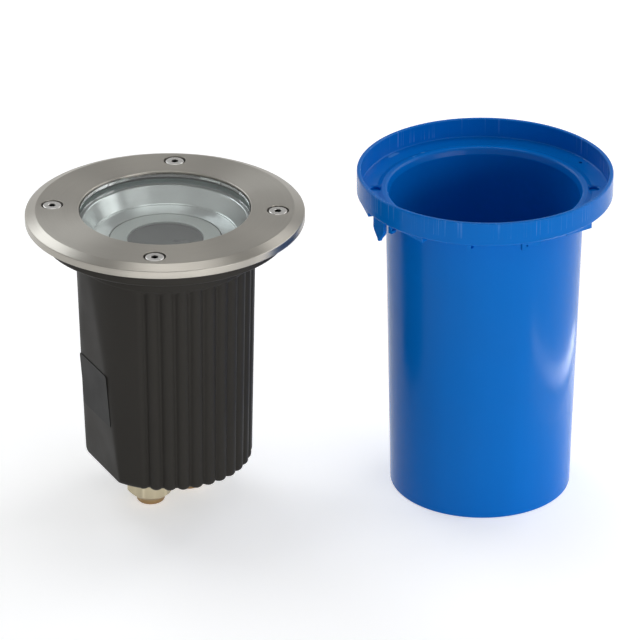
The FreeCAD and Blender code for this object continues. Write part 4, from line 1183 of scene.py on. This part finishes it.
@dataclass
class Housing(Assembly):
    """Die-cast housing with its reeded barrel, flange and label facet."""

    facet: float = 207.3
    gland_azimuth: float = 221.4
    gland_out: float = 11.2
    thread: float = 8.1
    bottom: float = 20.0
    floor: float = 24.0
    disc: float = 24.0
    foot_ring: float = 30.0
    neck_bottom: float = 121.4
    flange_under: float = 131.4
    flange: float = 55.3
    top_radius: float = 40.2
    bottom_radius: float = 38.0
    reed_back: float = 3.288
    reed_pitch: float = 10.0
    reed_depth: float = 1.5
    reed_foot: float = 2.4
    reed_mean: float = 1.25
    core_foot: float = 3.0
    plain_half: float = 45.0
    neck_proud: float = 0.15
    neck_curve: tuple[tuple[float, float], ...] = ((0.11, 121.3), (0.047, 121.45), (0.012, 121.6),
                                                   (0.0, 121.754))
    runout: float = 3.4
    runout_deep: float = 2.75
    runout_high: float = 3.125
    runout_steps: int = 7
    foot_levels: tuple[float, ...] = (0.0, 0.06, 0.18, 0.38, 0.66, 1.0, 1.4, 1.9, 2.4, 3.0)
    barrel_levels: tuple[float, ...] = (26.0, 34.0, 48.0, 62.0, 76.0, 88.0, 98.0, 106.0, 111.0, 114.5, 116.8)
    chamber_levels: tuple[float, ...] = (120.0, 112.0, 96.0, 78.0, 60.0, 42.0)
    chamber_top: float = 129.0
    land_pitch: float = 1.7
    seal_bore: float = 43.8
    pan_bore: float = 37.29
    tapped: float = 2.8
    tapped_low: float = 132.9
    tapped_mouth: float = 0.15
    facet_low: float = 33.2
    facet_high: float = 40.174
    facet_top: float = 120.2
    facet_reach: float = 60.0
    facet_soft: float = 0.45
    facet_foot: float = 1.4
    wall: float = 2.6
    bosses: tuple[Boss, ...] = (
        Boss(90.0, 23.0, 3.5, 3.0, 1.6), Boss(-90.0, 23.0, 3.5, 3.0, 1.6), Boss(180.0, 28.04, 4.0, 11.0, 2.1))
    boss_sunk: float = 0.5
    boss_web: float = 0.2
    label_wide: float = 28.0
    label_high: float = 26.5
    label_up: float = 41.0
    label_thick: float = 0.3
    label_corner: float = 1.5
    label_edge: float = 0.1
    steps: int = 720

    def crest(self, level: float) -> float:
        """Radius over the reeds at a level."""
        share = (level - self.bottom) / (self.neck_bottom - self.bottom)
        return self.bottom_radius + (self.top_radius - self.bottom_radius) * share

    def chamber(self, level: float) -> float:
        """Radius inside the wall at a level."""
        return self.crest(level) - self.reed_mean - self.wall

    def facet_out(self, level: float) -> float:
        """Distance of the facet's plane from the axis at a level."""
        share = (level - self.bottom) / (self.facet_top - self.bottom)
        return self.facet_low + (self.facet_high - self.facet_low) * share

    def reeded(self, level: float, off: float) -> float:
        """Radius of the barrel with its reeds, before the facet is cut.

        Args:
            level: Height.
            off: Direction from the facet's middle, 0 to 360 degrees.

        Returns:
            Radius of the wall.
        """
        crest = self.crest(level)
        up = level - self.bottom
        core = foot_inset(up, self.core_foot)
        if min(off, CIRCLE - off) <= self.plain_half:
            return crest - core
        within = (off - self.plain_half + self.reed_pitch / 2.0) % self.reed_pitch - self.reed_pitch / 2.0
        rod = self.reed_back - foot_inset(up, self.reed_foot)
        centre = crest - self.reed_back
        angle = math.radians(within)
        under = rod ** 2 - (centre * math.sin(angle)) ** 2
        valley = crest - self.reed_depth - core
        if under <= 0.0:
            return valley
        return max(centre * math.cos(angle) + math.sqrt(under), valley)

    def outside(self, level: float, azimuth: float) -> float:
        """Radius of the finished outside at a level and a direction.

        Args:
            level: Height.
            azimuth: Direction in degrees.

        Returns:
            Radius of the wall.
        """
        off = apart(azimuth, self.facet)
        radius = self.reeded(level, off % CIRCLE)
        if abs(off) < self.facet_reach:
            plane = self.facet_out(level) - foot_inset(level - self.bottom, self.facet_foot)
            radius = soft_least(radius, plane / math.cos(math.radians(off)), self.facet_soft)
        start = self.neck_bottom - self.runout
        if level >= start:
            neck = self.top_radius + self.neck_proud
            inner = neck - self.runout_deep
            radius = max(radius, inner + (neck - inner) * (level - start) / self.runout)
        return radius

    def corners(self) -> list[Corner]:
        """Lay out the casting's section, from under the floor round to its inside.

        Returns:
            Corners of the open section.
        """
        neck = self.top_radius + self.neck_proud
        start = self.neck_bottom - self.runout
        levels = [self.bottom + up for up in self.foot_levels] + list(self.barrel_levels)
        levels += [start + self.runout_high * step / self.runout_steps
                   for step in range(self.runout_steps + 1)]
        corners = flat((0.0, self.disc, self.foot_ring), self.bottom)
        corners += [Corner(self.crest(level), level) for level in levels]
        corners += [Corner(neck - inset, level) for inset, level in self.neck_curve]
        corners += [Corner(neck, self.flange_under, 4.5), Corner(self.flange, self.flange_under, 1.2),
                    Corner(self.flange, RING_SEAT, 0.3)]
        corners += flat([*reversed(bands(self.land_pitch, 2)), self.seal_bore], RING_SEAT)
        corners += flat((self.seal_bore, self.pan_bore), PAN_SEAT)
        corners.append(Corner(self.pan_bore, self.chamber_top))
        corners += [Corner(self.chamber(level), level) for level in (self.chamber_top, *self.chamber_levels)]
        corners.append(Corner(self.chamber(self.floor), self.floor, 3.0))
        return corners + flat((self.disc, 0.0), self.floor)

    def build_casting(self) -> None:
        """Build the casting with its reeds, run-outs, facet, flange and chamber."""
        bm = turned(self.corners(), closed=False, steps=self.steps, first=self.facet)
        self.press(bm)
        self.drill_threads(bm)
        circles = ((self.tapped + self.tapped_mouth, RING_SEAT),
                   (self.tapped, RING_SEAT - self.tapped_mouth), (self.tapped, self.tapped_low))
        for angle in SCREW_ANGLES:
            bore = Bore(SCREW_OUT, angle, circles, reach_out=3.8, reach_round=4.4, steps=32)
            sink(bm, bore, RING_SEAT)
        self.stand_bosses(bm)
        piece(bm, "housing_casting", self.axis, Body.LIGHT, CASTING.material(self.axis),
              "housing", limit=math.radians(50.0))

    def press(self, bm: bmesh.types.BMesh) -> None:
        """Push the turned wall to its reeds, foot, run-outs and facet, outside and inside.

        Args:
            bm: Turned casting.
        """
        for vert in bm.verts:
            out = math.hypot(vert.co.x, vert.co.y)
            level = vert.co.z
            azimuth = azimuth_of(vert.co)
            off = apart(azimuth, self.facet)
            if level < self.neck_bottom and abs(out - self.crest(level)) < SLACK:
                vert.co = polar(self.outside(level, azimuth), azimuth, level)
            elif (self.floor - SLACK < level < self.chamber_top + SLACK and abs(off) < self.facet_reach
                  and self.disc + SLACK < out < self.chamber(level) + SLACK):
                plane = (self.facet_out(level) - self.wall) / math.cos(math.radians(off))
                vert.co = polar(min(out, plane), azimuth, level)

    def drill_threads(self, bm: bmesh.types.BMesh) -> None:
        """Open the floor for the two cable glands.

        Args:
            bm: Turned casting.
        """
        centres = [polar(self.gland_out, self.gland_azimuth + half, 0.0) for half in (0.0, CIRCLE / 2)]
        rings = []
        for level, facing in ((self.bottom, -1), (self.floor, 1)):
            disc = [face for face in bm.faces
                    if all(abs(vert.co.z - level) < SLACK and vert.co.xy.length < self.disc + SLACK
                           for vert in face.verts)]
            rim = open_faces(bm, disc)
            if not rings:
                rings = [circle(bm, centre, self.thread, level, steps=72) for centre in centres]
            else:
                rings = [draw_in(bm, ring, lambda azimuth: (self.thread, self.floor), centre)
                         for ring, centre in zip(rings, centres)]
            bmesh.ops.triangle_fill(bm, edges=rim + [edge for ring in rings for edge in ring],
                                    use_beauty=True, normal=(0, 0, facing))
        face_out(bm)

    def stand_bosses(self, bm: bmesh.types.BMesh) -> None:
        """Stand the two screw bosses and the earth boss on the floor.

        Args:
            bm: Casting.
        """
        low = self.floor - self.boss_sunk
        web = self.floor + self.boss_web
        for boss in self.bosses:
            top = self.floor + boss.high
            made = turned([
                Corner(0.0, low), Corner(boss.radius, low), Corner(boss.radius, top, 0.3),
                Corner(boss.drill, top), Corner(boss.drill, web), Corner(0.0, web)], closed=False, steps=48)
            move(made, polar(boss.out, self.facet + boss.turn, 0.0))
            join(bm, made)

    def build_label(self) -> None:
        """Build the bare label with rounded corners on the facet."""
        wide, high = self.label_wide / 2.0, self.label_high / 2.0
        bm = plate([(wide, -high), (wide, high), (-wide, high), (-wide, -high)], self.label_thick)
        across = [edge for edge in bm.edges
                  if abs((edge.verts[0].co - edge.verts[1].co).normalized().y) > ALONG]
        soften(bm, across, self.label_corner, segments=6)
        face = max(bm.faces, key=lambda item: item.calc_center_median().y)
        soften(bm, face.edges[:], self.label_edge, segments=2)
        turn(bm, -90.0)
        tilt = math.atan2(self.facet_high - self.facet_low, self.facet_top - self.bottom)
        turn(bm, math.degrees(tilt), "Y")
        middle = self.bottom + self.label_up
        move(bm, (self.facet_out(middle), 0.0, middle))
        turn(bm, self.facet)
        piece(bm, "blank_label", self.axis, Body.LIGHT, LABEL.material(), "rating_label")

    def build(self) -> None:
        """Build the housing and its label."""
        self.build_casting()
        self.build_label()


@dataclass
class Lighting(Assembly):
    """Reflector and the lamp that stands in it."""

    sheet: float = 0.8
    pan_edge: float = 38.7
    pan_mouth: float = 36.5
    pan_back: float = 36.99
    pan_foot: float = 32.7
    foot_back: float = 32.98
    step: float = 32.0
    step_level: float = 125.4
    cone_level: float = 125.0
    lamp_hole: float = 25.4
    face: float = 25.0
    face_level: float = 123.9
    cup_side: float = 120.9
    waist: float = 16.0
    waist_level: float = 91.9
    neck: float = 14.5
    neck_level: float = 86.9
    well: float = 17.1
    well_level: float = 121.8
    window: float = 17.0
    window_level: float = 123.0

    def build_reflector(self) -> None:
        """Build the stepped reflector."""
        bm = turned([
            Corner(self.pan_edge, PAN_SEAT), Corner(self.pan_edge, PAN_SEAT + self.sheet, 0.2),
            Corner(self.pan_mouth, PAN_SEAT + self.sheet, 0.5), Corner(self.pan_foot, self.step_level, 0.25),
            Corner(self.step, self.step_level, 0.2), Corner(self.step, self.cone_level, 0.1),
            Corner(self.lamp_hole, self.face_level), Corner(self.lamp_hole, self.face_level - self.sheet),
            Corner(self.step, self.cone_level - self.sheet),
            Corner(self.foot_back, self.cone_level - self.sheet), Corner(self.pan_back, PAN_SEAT)],
            steps=FINE_STEPS)
        lay_turning(bm)
        piece(bm, "reflector_pan", self.axis, Body.LIGHT, ALUMINIUM.material(self.axis),
              "reflector")

    def build_lamp(self) -> None:
        """Build the lamp's shell and the window in its face."""
        bm = turned([
            Corner(0.0, self.neck_level), Corner(self.neck, self.neck_level, 1.0),
            Corner(self.waist, self.waist_level, 6.0), Corner(self.face, self.cup_side, 2.0),
            Corner(self.face, self.face_level, 0.5), Corner(self.well, self.face_level, 0.3),
            Corner(self.well, self.well_level), Corner(0.0, self.well_level)], closed=False)
        piece(bm, "lamp_cup", self.axis, Body.LAMP, LAMP_SILVER.material(self.axis),
              "lamp_shell")
        bm = turned([
            Corner(0.0, self.well_level), Corner(self.window, self.well_level),
            Corner(self.window, self.window_level, 0.2), Corner(0.0, self.window_level)], closed=False)
        piece(bm, "lamp_window", self.axis, Body.LAMP, LAMP_LENS.material(self.axis),
              "lamp_lens")

    def build(self) -> None:
        """Build the reflector and the lamp's visible parts."""
        self.build_reflector()
        self.build_lamp()


@dataclass
class Glands:
    """Cap nuts of the two cable glands."""

    across: float = 19.0
    corner: float = 10.85
    corner_azimuth: float = 13.5
    face: float = 7.1
    face_level: float = 3.0
    slope: float = 0.875
    top: float = 14.7
    top_slope: float = 0.577
    top_inset: float = 0.02
    nose: float = 6.5
    entry: float = 4.2
    entry_top: float = 4.3
    bore: float = 7.3
    middle: float = 9.0

    def side(self, azimuth: float, lower: bool) -> tuple[float, float]:
        """Radius and level of the hexagon's edge in a direction.

        Args:
            azimuth: Direction in degrees, with a corner at 0.
            lower: Whether it is the lower edge.

        Returns:
            Radius and level.
        """
        out = min(hexagon_out(self.across, azimuth), self.corner)
        if lower:
            return out, self.face_level + (out - self.face) * self.slope
        return out, self.top - (out - self.across / 2.0) * self.top_slope

    def nut(self) -> bmesh.types.BMesh:
        """Shape a cap nut: a hexagon with a round nose.

        Returns:
            The nut round its own axis.
        """
        bm = bmesh.new()
        section(bm, [
            Corner(self.face, self.face_level), Corner(self.nose, self.face_level),
            Corner(self.nose, 0.0, 1.5), Corner(self.entry, 0.0, 0.4), Corner(self.entry, self.entry_top),
            Corner(self.bore, self.entry_top), Corner(self.bore, self.top)])
        spun(bm, steps=120)
        rims = [edge for edge in bm.edges if edge.is_boundary]
        last = [edge for edge in rims if edge.verts[0].co.z < self.middle]
        upper = [edge for edge in rims if edge.verts[0].co.z > self.middle]
        for lower in (True, False):
            last = draw_in(bm, last, lambda azimuth, lower=lower: self.side(azimuth, lower))
        last = draw_in(bm, last, lambda azimuth: (self.across / 2.0 - self.top_inset, self.top))
        bmesh.ops.bridge_loops(bm, edges=last + upper)
        face_out(bm)
        turn(bm, self.corner_azimuth)
        return bm

    def build(self) -> None:
        """Build both cap nuts."""
        for node, name, body in (("gland_nut_front", "cap_nut_front", Body.FRONT_CAP),
                                 ("gland_nut_rear", "cap_nut_rear", Body.REAR_CAP)):
            piece(self.nut(), name, axis_of(node), body, GLAND_BRASS.material(), node,
                  limit=math.radians(25.0))


@dataclass
class Sleeve(Assembly):
    """Moulded installation sleeve."""

    NODE: ClassVar[str] = "sleeve"

    height: float = 155.5
    wall: float = 1.9
    base: float = 41.4
    top: float = 44.6
    rim: float = 57.5
    ledge: float = 146.5
    ledge_under: float = 144.5
    throat: float = 1.0
    lip: float = 43.8
    lip_wide: float = 2.4
    shelf: float = 2.0
    dish: float = 0.6
    fall: float = 0.2
    under_bands: tuple[float, ...] = (46.2, 47.6, 49.0, 50.4, 51.4, 52.3, 53.2)
    dish_bands: tuple[float, ...] = (53.1, 52.3, 51.5, 50.4, 49.2)
    under_inset: float = 0.8
    ramps: tuple[tuple[float, float], ...] = ((192.0, 203.0), (229.5, 239.5), (285.0, 294.0), (307.0, 324.0))
    ramp_deep: tuple[float, float] = (0.3, 2.2)
    ramp_thick: float = 5.0
    tongue: float = 212.0
    tongue_deep: float = 9.0
    tongue_thick: float = 1.8
    tongue_side: tuple[tuple[float, float], ...] = ((4.3, 4.3), (3.4, 2.6), (1.8, 0.8), (1.0, 0.0),
                                                    (0.6, -1.2))
    hooks: tuple[float, ...] = (220.5, 261.0, 286.0)
    hook_half: float = 1.0
    hook_deep: float = 3.4
    hook_nose: float = 2.0
    hook_thick: float = 2.4
    fixing_out: float = 49.0
    fixing: float = 2.25
    drain_out: float = 52.3
    drain: float = 0.8
    drain_azimuth: float = 32.0
    skin: float = 0.3
    fixing_flare: float = 0.2
    fixing_mouth: float = 0.1
    fixing_edge: float = 0.15
    drain_mouth: float = 0.32
    snap_root: float = 1.0

    # A plate is drawn facing this way, in degrees.
    PLATE_FACING: ClassVar[float] = 270.0

    def hang(self, bm: bmesh.types.BMesh, azimuth: float, into: bmesh.types.BMesh) -> None:
        """Stand a plate under the rim, facing a direction, and a copy on the far side.

        Args:
            bm: Plate. It is freed.
            azimuth: Direction that it faces, in degrees.
            into: Mesh that it joins.
        """
        for facing in (azimuth, azimuth + CIRCLE / 2):
            copy = bm.copy()
            move(copy, (0.0, self.under_inset - self.rim, 0.0))
            turn(copy, facing - self.PLATE_FACING)
            join(into, copy)
        bm.free()

    def turn_tube(self) -> bmesh.types.BMesh:
        """Turn the tube with its ledge, lip and rim.

        Returns:
            The turned mesh.
        """
        inner_rim = self.rim - self.wall
        lip_out = self.lip + self.lip_wide
        dish_in = lip_out + self.shelf
        dish_out = inner_rim - self.shelf
        dished = self.ledge - self.dish
        slope = (self.dish - self.fall) / (dish_out - dish_in)
        corners = [Corner(self.base - self.wall, 0.0), Corner(self.base, 0.0, 0.6),
                   Corner(self.top, self.ledge_under, 1.0)]
        corners += flat(self.under_bands, self.ledge_under)
        corners += [
            Corner(self.rim, self.ledge_under, 1.2), Corner(self.rim, self.height, 0.6),
            Corner(inner_rim, self.height, 0.5), Corner(inner_rim, self.ledge, 0.6),
            Corner(dish_out, self.ledge - self.fall, 0.8)]
        corners += [Corner(out, dished + slope * (out - dish_in)) for out in self.dish_bands]
        corners += [
            Corner(dish_in, dished, 1.5), Corner(lip_out, self.ledge, 0.8), Corner(self.lip, self.ledge, 1.3),
            Corner(self.top - self.wall, self.ledge_under - self.throat, 2.0)]
        return turned(corners, steps=300)

    def drill_ledge(self, bm: bmesh.types.BMesh) -> None:
        """Sink the fixing and drain holes into the ledge, down to a thin skin.

        Args:
            bm: Turned tube.
        """
        dished = self.ledge - self.dish
        low = self.ledge_under + self.skin
        fixing = ((self.fixing + self.fixing_flare, dished + self.fixing_mouth),
                  (self.fixing, dished - self.fixing_edge), (self.fixing, low))
        drain = ((self.drain, dished + self.drain_mouth), (self.drain, low))
        for half in (0.0, CIRCLE / 2):
            bore = Bore(self.fixing_out, half, fixing, reach_out=2.7, reach_round=3.6, steps=40)
            sink(bm, bore, dished)
            bore = Bore(self.drain_out, half + self.drain_azimuth, drain, reach_out=1.1, reach_round=1.8,
                        steps=24)
            sink(bm, bore, dished + self.drain_mouth)

    def hang_snaps(self, bm: bmesh.types.BMesh) -> None:
        """Hang the ramps, tongues and hooks under the rim.

        Args:
            bm: Turned tube.
        """
        up = self.ledge_under + self.snap_root
        shallow, deep = (self.ledge_under - down for down in self.ramp_deep)
        for start, end in self.ramps:
            half = (self.rim - self.under_inset) * math.radians(end - start) / 2.0
            shape = plate([(-half, shallow), (half, deep), (half, up), (-half, up)], self.ramp_thick,
                          rounding=0.25)
            self.hang(shape, (start + end) / 2.0, bm)
        low = self.ledge_under - self.tongue_deep
        left = [(-along, low + level) for along, level in self.tongue_side]
        right = [(along, low + level) for along, level in reversed(self.tongue_side)]
        wide = self.tongue_side[0][0]
        shape = plate([(-wide, up), *left, *right, (wide, up)], self.tongue_thick,
                      rounding=0.25)
        self.hang(shape, self.tongue, bm)
        half, nose = self.hook_half, self.hook_nose
        under = self.ledge_under - self.hook_deep
        for hook in self.hooks:
            shape = plate([(-half, up), (-half, under), (half, under), (nose, under + nose),
                           (half, under + nose), (half, up)], self.hook_thick, rounding=0.15)
            self.hang(shape, hook, bm)

    def build(self) -> None:
        """Build the sleeve."""
        bm = self.turn_tube()
        self.drill_ledge(bm)
        self.hang_snaps(bm)
        piece(bm, "sleeve_pot", self.axis, Body.SLEEVE, BLUE.material(self.axis), "sleeve")


def dress_carried(frame: dict) -> None:
    """Give the CAD nodes that stay visible their finishes.
    """
    for node, finish in CARRIED.items():
        obj = frame["nodes"][node]
        material = finish.material()
        for index in range(len(obj.material_slots)):
            obj.material_slots[index].material = material
        LOG.info("carried %s as %s", node, finish.name)


# ---------------------------------------------------------------------------
# Studio
# ---------------------------------------------------------------------------


@dataclass(frozen=True)
class Softbox:
    """A soft lamp.

    Args:
        name: Name of the lamp.
        azimuth: Direction from the object, in degrees.
        elevation: Height of its middle over the horizon, in degrees.
        distance: Distance from the object, in metres.
        wide: Width, in metres.
        high: Height, in metres.
        level: Brightness of its face, where 1 is white.
        tone: Colour of its light.
        aim: Point that it faces, in metres.
    """

    name: str
    azimuth: float
    elevation: float
    distance: float
    wide: float
    high: float
    level: float
    tone: tuple[float, float, float] = (1.0, 1.0, 1.0)
    aim: tuple[float, float, float] = (0.0, 0.0, 0.08)

    def build(self) -> None:
        """Hang the lamp and turn it to the object."""
        data = bpy.data.lights.new(self.name, "AREA")
        data.shape = "RECTANGLE"
        data.size = self.wide
        data.size_y = self.high
        data.color = self.tone
        data.energy = self.level * math.pi * self.wide * self.high
        obj = bpy.data.objects.new(self.name, data)
        aim = Vector(self.aim)
        rise = math.radians(self.elevation)
        obj.location = aim + polar(
            self.distance * math.cos(rise), self.azimuth, self.distance * math.sin(rise))
        obj.rotation_euler = (aim - obj.location).to_track_quat("-Z", "Y").to_euler()
        obj.visible_camera = False
        bpy.context.scene.collection.objects.link(obj)
        LOG.info("lamp %s: %.1f W", self.name, data.energy)


@dataclass
class Studio:
    """Floor, sky, lamps and camera, in metres."""

    sky_level: float = 0.42
    sky_high: float = 0.36
    sky_fade: tuple[float, float] = (0.08, 0.58)
    floor_half: float = 6.0
    floor_tone: float = 0.85
    floor_roughness: float = 0.9
    floor_specular: float = 0.1
    floor_glow: float = 0.5
    glow_rise: tuple[float, float] = (0.5, 1.8)
    camera_place: tuple[float, float, float] = (0.0001, -1.8215, 0.9942)
    camera_pitch: float = 26.52
    lens: float = 253.1
    sensor: float = 36.0
    sight: float = 30.0
    lamps: tuple[Softbox, ...] = (
        Softbox("left_back", 132.0, 38.0, 1.7, 1.0, 0.7, 2.9, (0.92, 0.96, 1.0)),
        Softbox("right_side", 4.0, 26.0, 1.7, 1.0, 0.7, 2.2),
        Softbox("right_back", 44.0, 38.0, 1.7, 0.75, 0.7, 2.6),
        Softbox("top_soft", 90.0, 80.0, 1.4, 0.7, 0.6, 2.8),
        Softbox("front_low_right", -48.0, 11.0, 1.9, 1.1, 0.5, 4.6),
        Softbox("front_low", -90.0, -6.0, 0.8, 1.0, 0.08, 7.0, aim=(0.0, 0.0, 0.125)),
        Softbox("front_strip", -90.0, 47.0, 1.6, 1.7, 0.1, 1.6),
        Softbox("sleeve_side", 20.0, 0.0, 0.14, 0.2, 0.34, 0.1, aim=(0.115, 0.0, 0.17)),
        Softbox("sleeve_side_low", 10.0, 0.0, 0.088, 0.21, 0.012, 5.4, aim=(0.113, -0.008, 0.014)))

    def build(self) -> None:
        """Build the studio."""
        bpy.context.scene.view_settings.view_transform = "Standard"
        self.camera()
        self.floor()
        self.sky()
        for lamp in self.lamps:
            lamp.build()

    def camera(self) -> None:
        """Set up the camera, looking down at the object."""
        lens = bpy.data.cameras.new("camera")
        lens.lens = self.lens
        lens.sensor_width = self.sensor
        lens.clip_end = self.sight
        camera = bpy.data.objects.new("camera", lens)
        camera.location = self.camera_place
        camera.rotation_euler = (math.radians(90.0 - self.camera_pitch), 0.0, 0.0)
        bpy.context.scene.collection.objects.link(camera)
        bpy.context.scene.camera = camera

    @staticmethod
    def background_ray(wires: Wiring) -> Socket:
        """Mask the rays that show the background: to the camera, and in metal and glass.

        Args:
            wires: Wiring of the floor or the sky.

        Returns:
            The mask.
        """
        path = wires.add("LightPath").outputs
        seen = wires.maths("MAXIMUM", path["Is Camera Ray"], path["Is Glossy Ray"])
        return wires.maths("MAXIMUM", seen, path["Is Transmission Ray"])

    def floor(self) -> None:
        """Lay a plain pale floor that keeps the object's shadow and turns white far out."""
        bm = bmesh.new()
        bmesh.ops.create_grid(bm, x_segments=1, y_segments=1, size=self.floor_half)
        mesh = bpy.data.meshes.new("floor")
        bm.to_mesh(mesh)
        bm.free()
        obj = bpy.data.objects.new("floor", mesh)
        bpy.context.scene.collection.objects.link(obj)
        material = bpy.data.materials.new("floor_white")
        material.use_nodes = True
        wires = Wiring(material.node_tree)
        reach = wires.length(wires.add("TexCoord").outputs["Object"])
        rise = wires.ramp(reach, *self.glow_rise, 1.0, 1.0 / self.floor_glow)
        wires.feed(material.node_tree.nodes["Principled BSDF"], {
            "Base Color": (self.floor_tone,) * 3 + (1.0,), "Roughness": self.floor_roughness,
            "Specular IOR Level": self.floor_specular, "Emission Color": (self.floor_glow,) * 3 + (1.0,),
            "Emission Strength": wires.maths("MULTIPLY", self.background_ray(wires), rise)})
        mesh.materials.append(material)

    def sky(self) -> None:
        """Surround the scene: white at the horizon and darker overhead, dimmer as a light."""
        world = bpy.data.worlds.new("studio_sky")
        world.use_nodes = True
        bpy.context.scene.world = world
        wires = Wiring(world.node_tree)
        level = wires.spread(self.background_ray(wires), self.sky_level, 1.0)
        up = wires.parts(wires.add("TexCoord").outputs["Generated"])[2]
        fade = wires.ramp(up, *self.sky_fade, 1.0, self.sky_high)
        wires.feed(world.node_tree.nodes["Background"], {
            "Color": (1.0, 1.0, 1.0, 1.0), "Strength": wires.maths("MULTIPLY", level, fade)})


def main() -> None:
    """Build the studio and the object."""
    logging.basicConfig(level=logging.INFO, format="%(name)s: %(message)s")
    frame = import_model()
    Studio().build()
    for part in (Cover(), Housing(), Lighting(), Glands(), Sleeve()):
        part.build()
    dress_carried(frame)


if __name__ == "__main__":
    main()
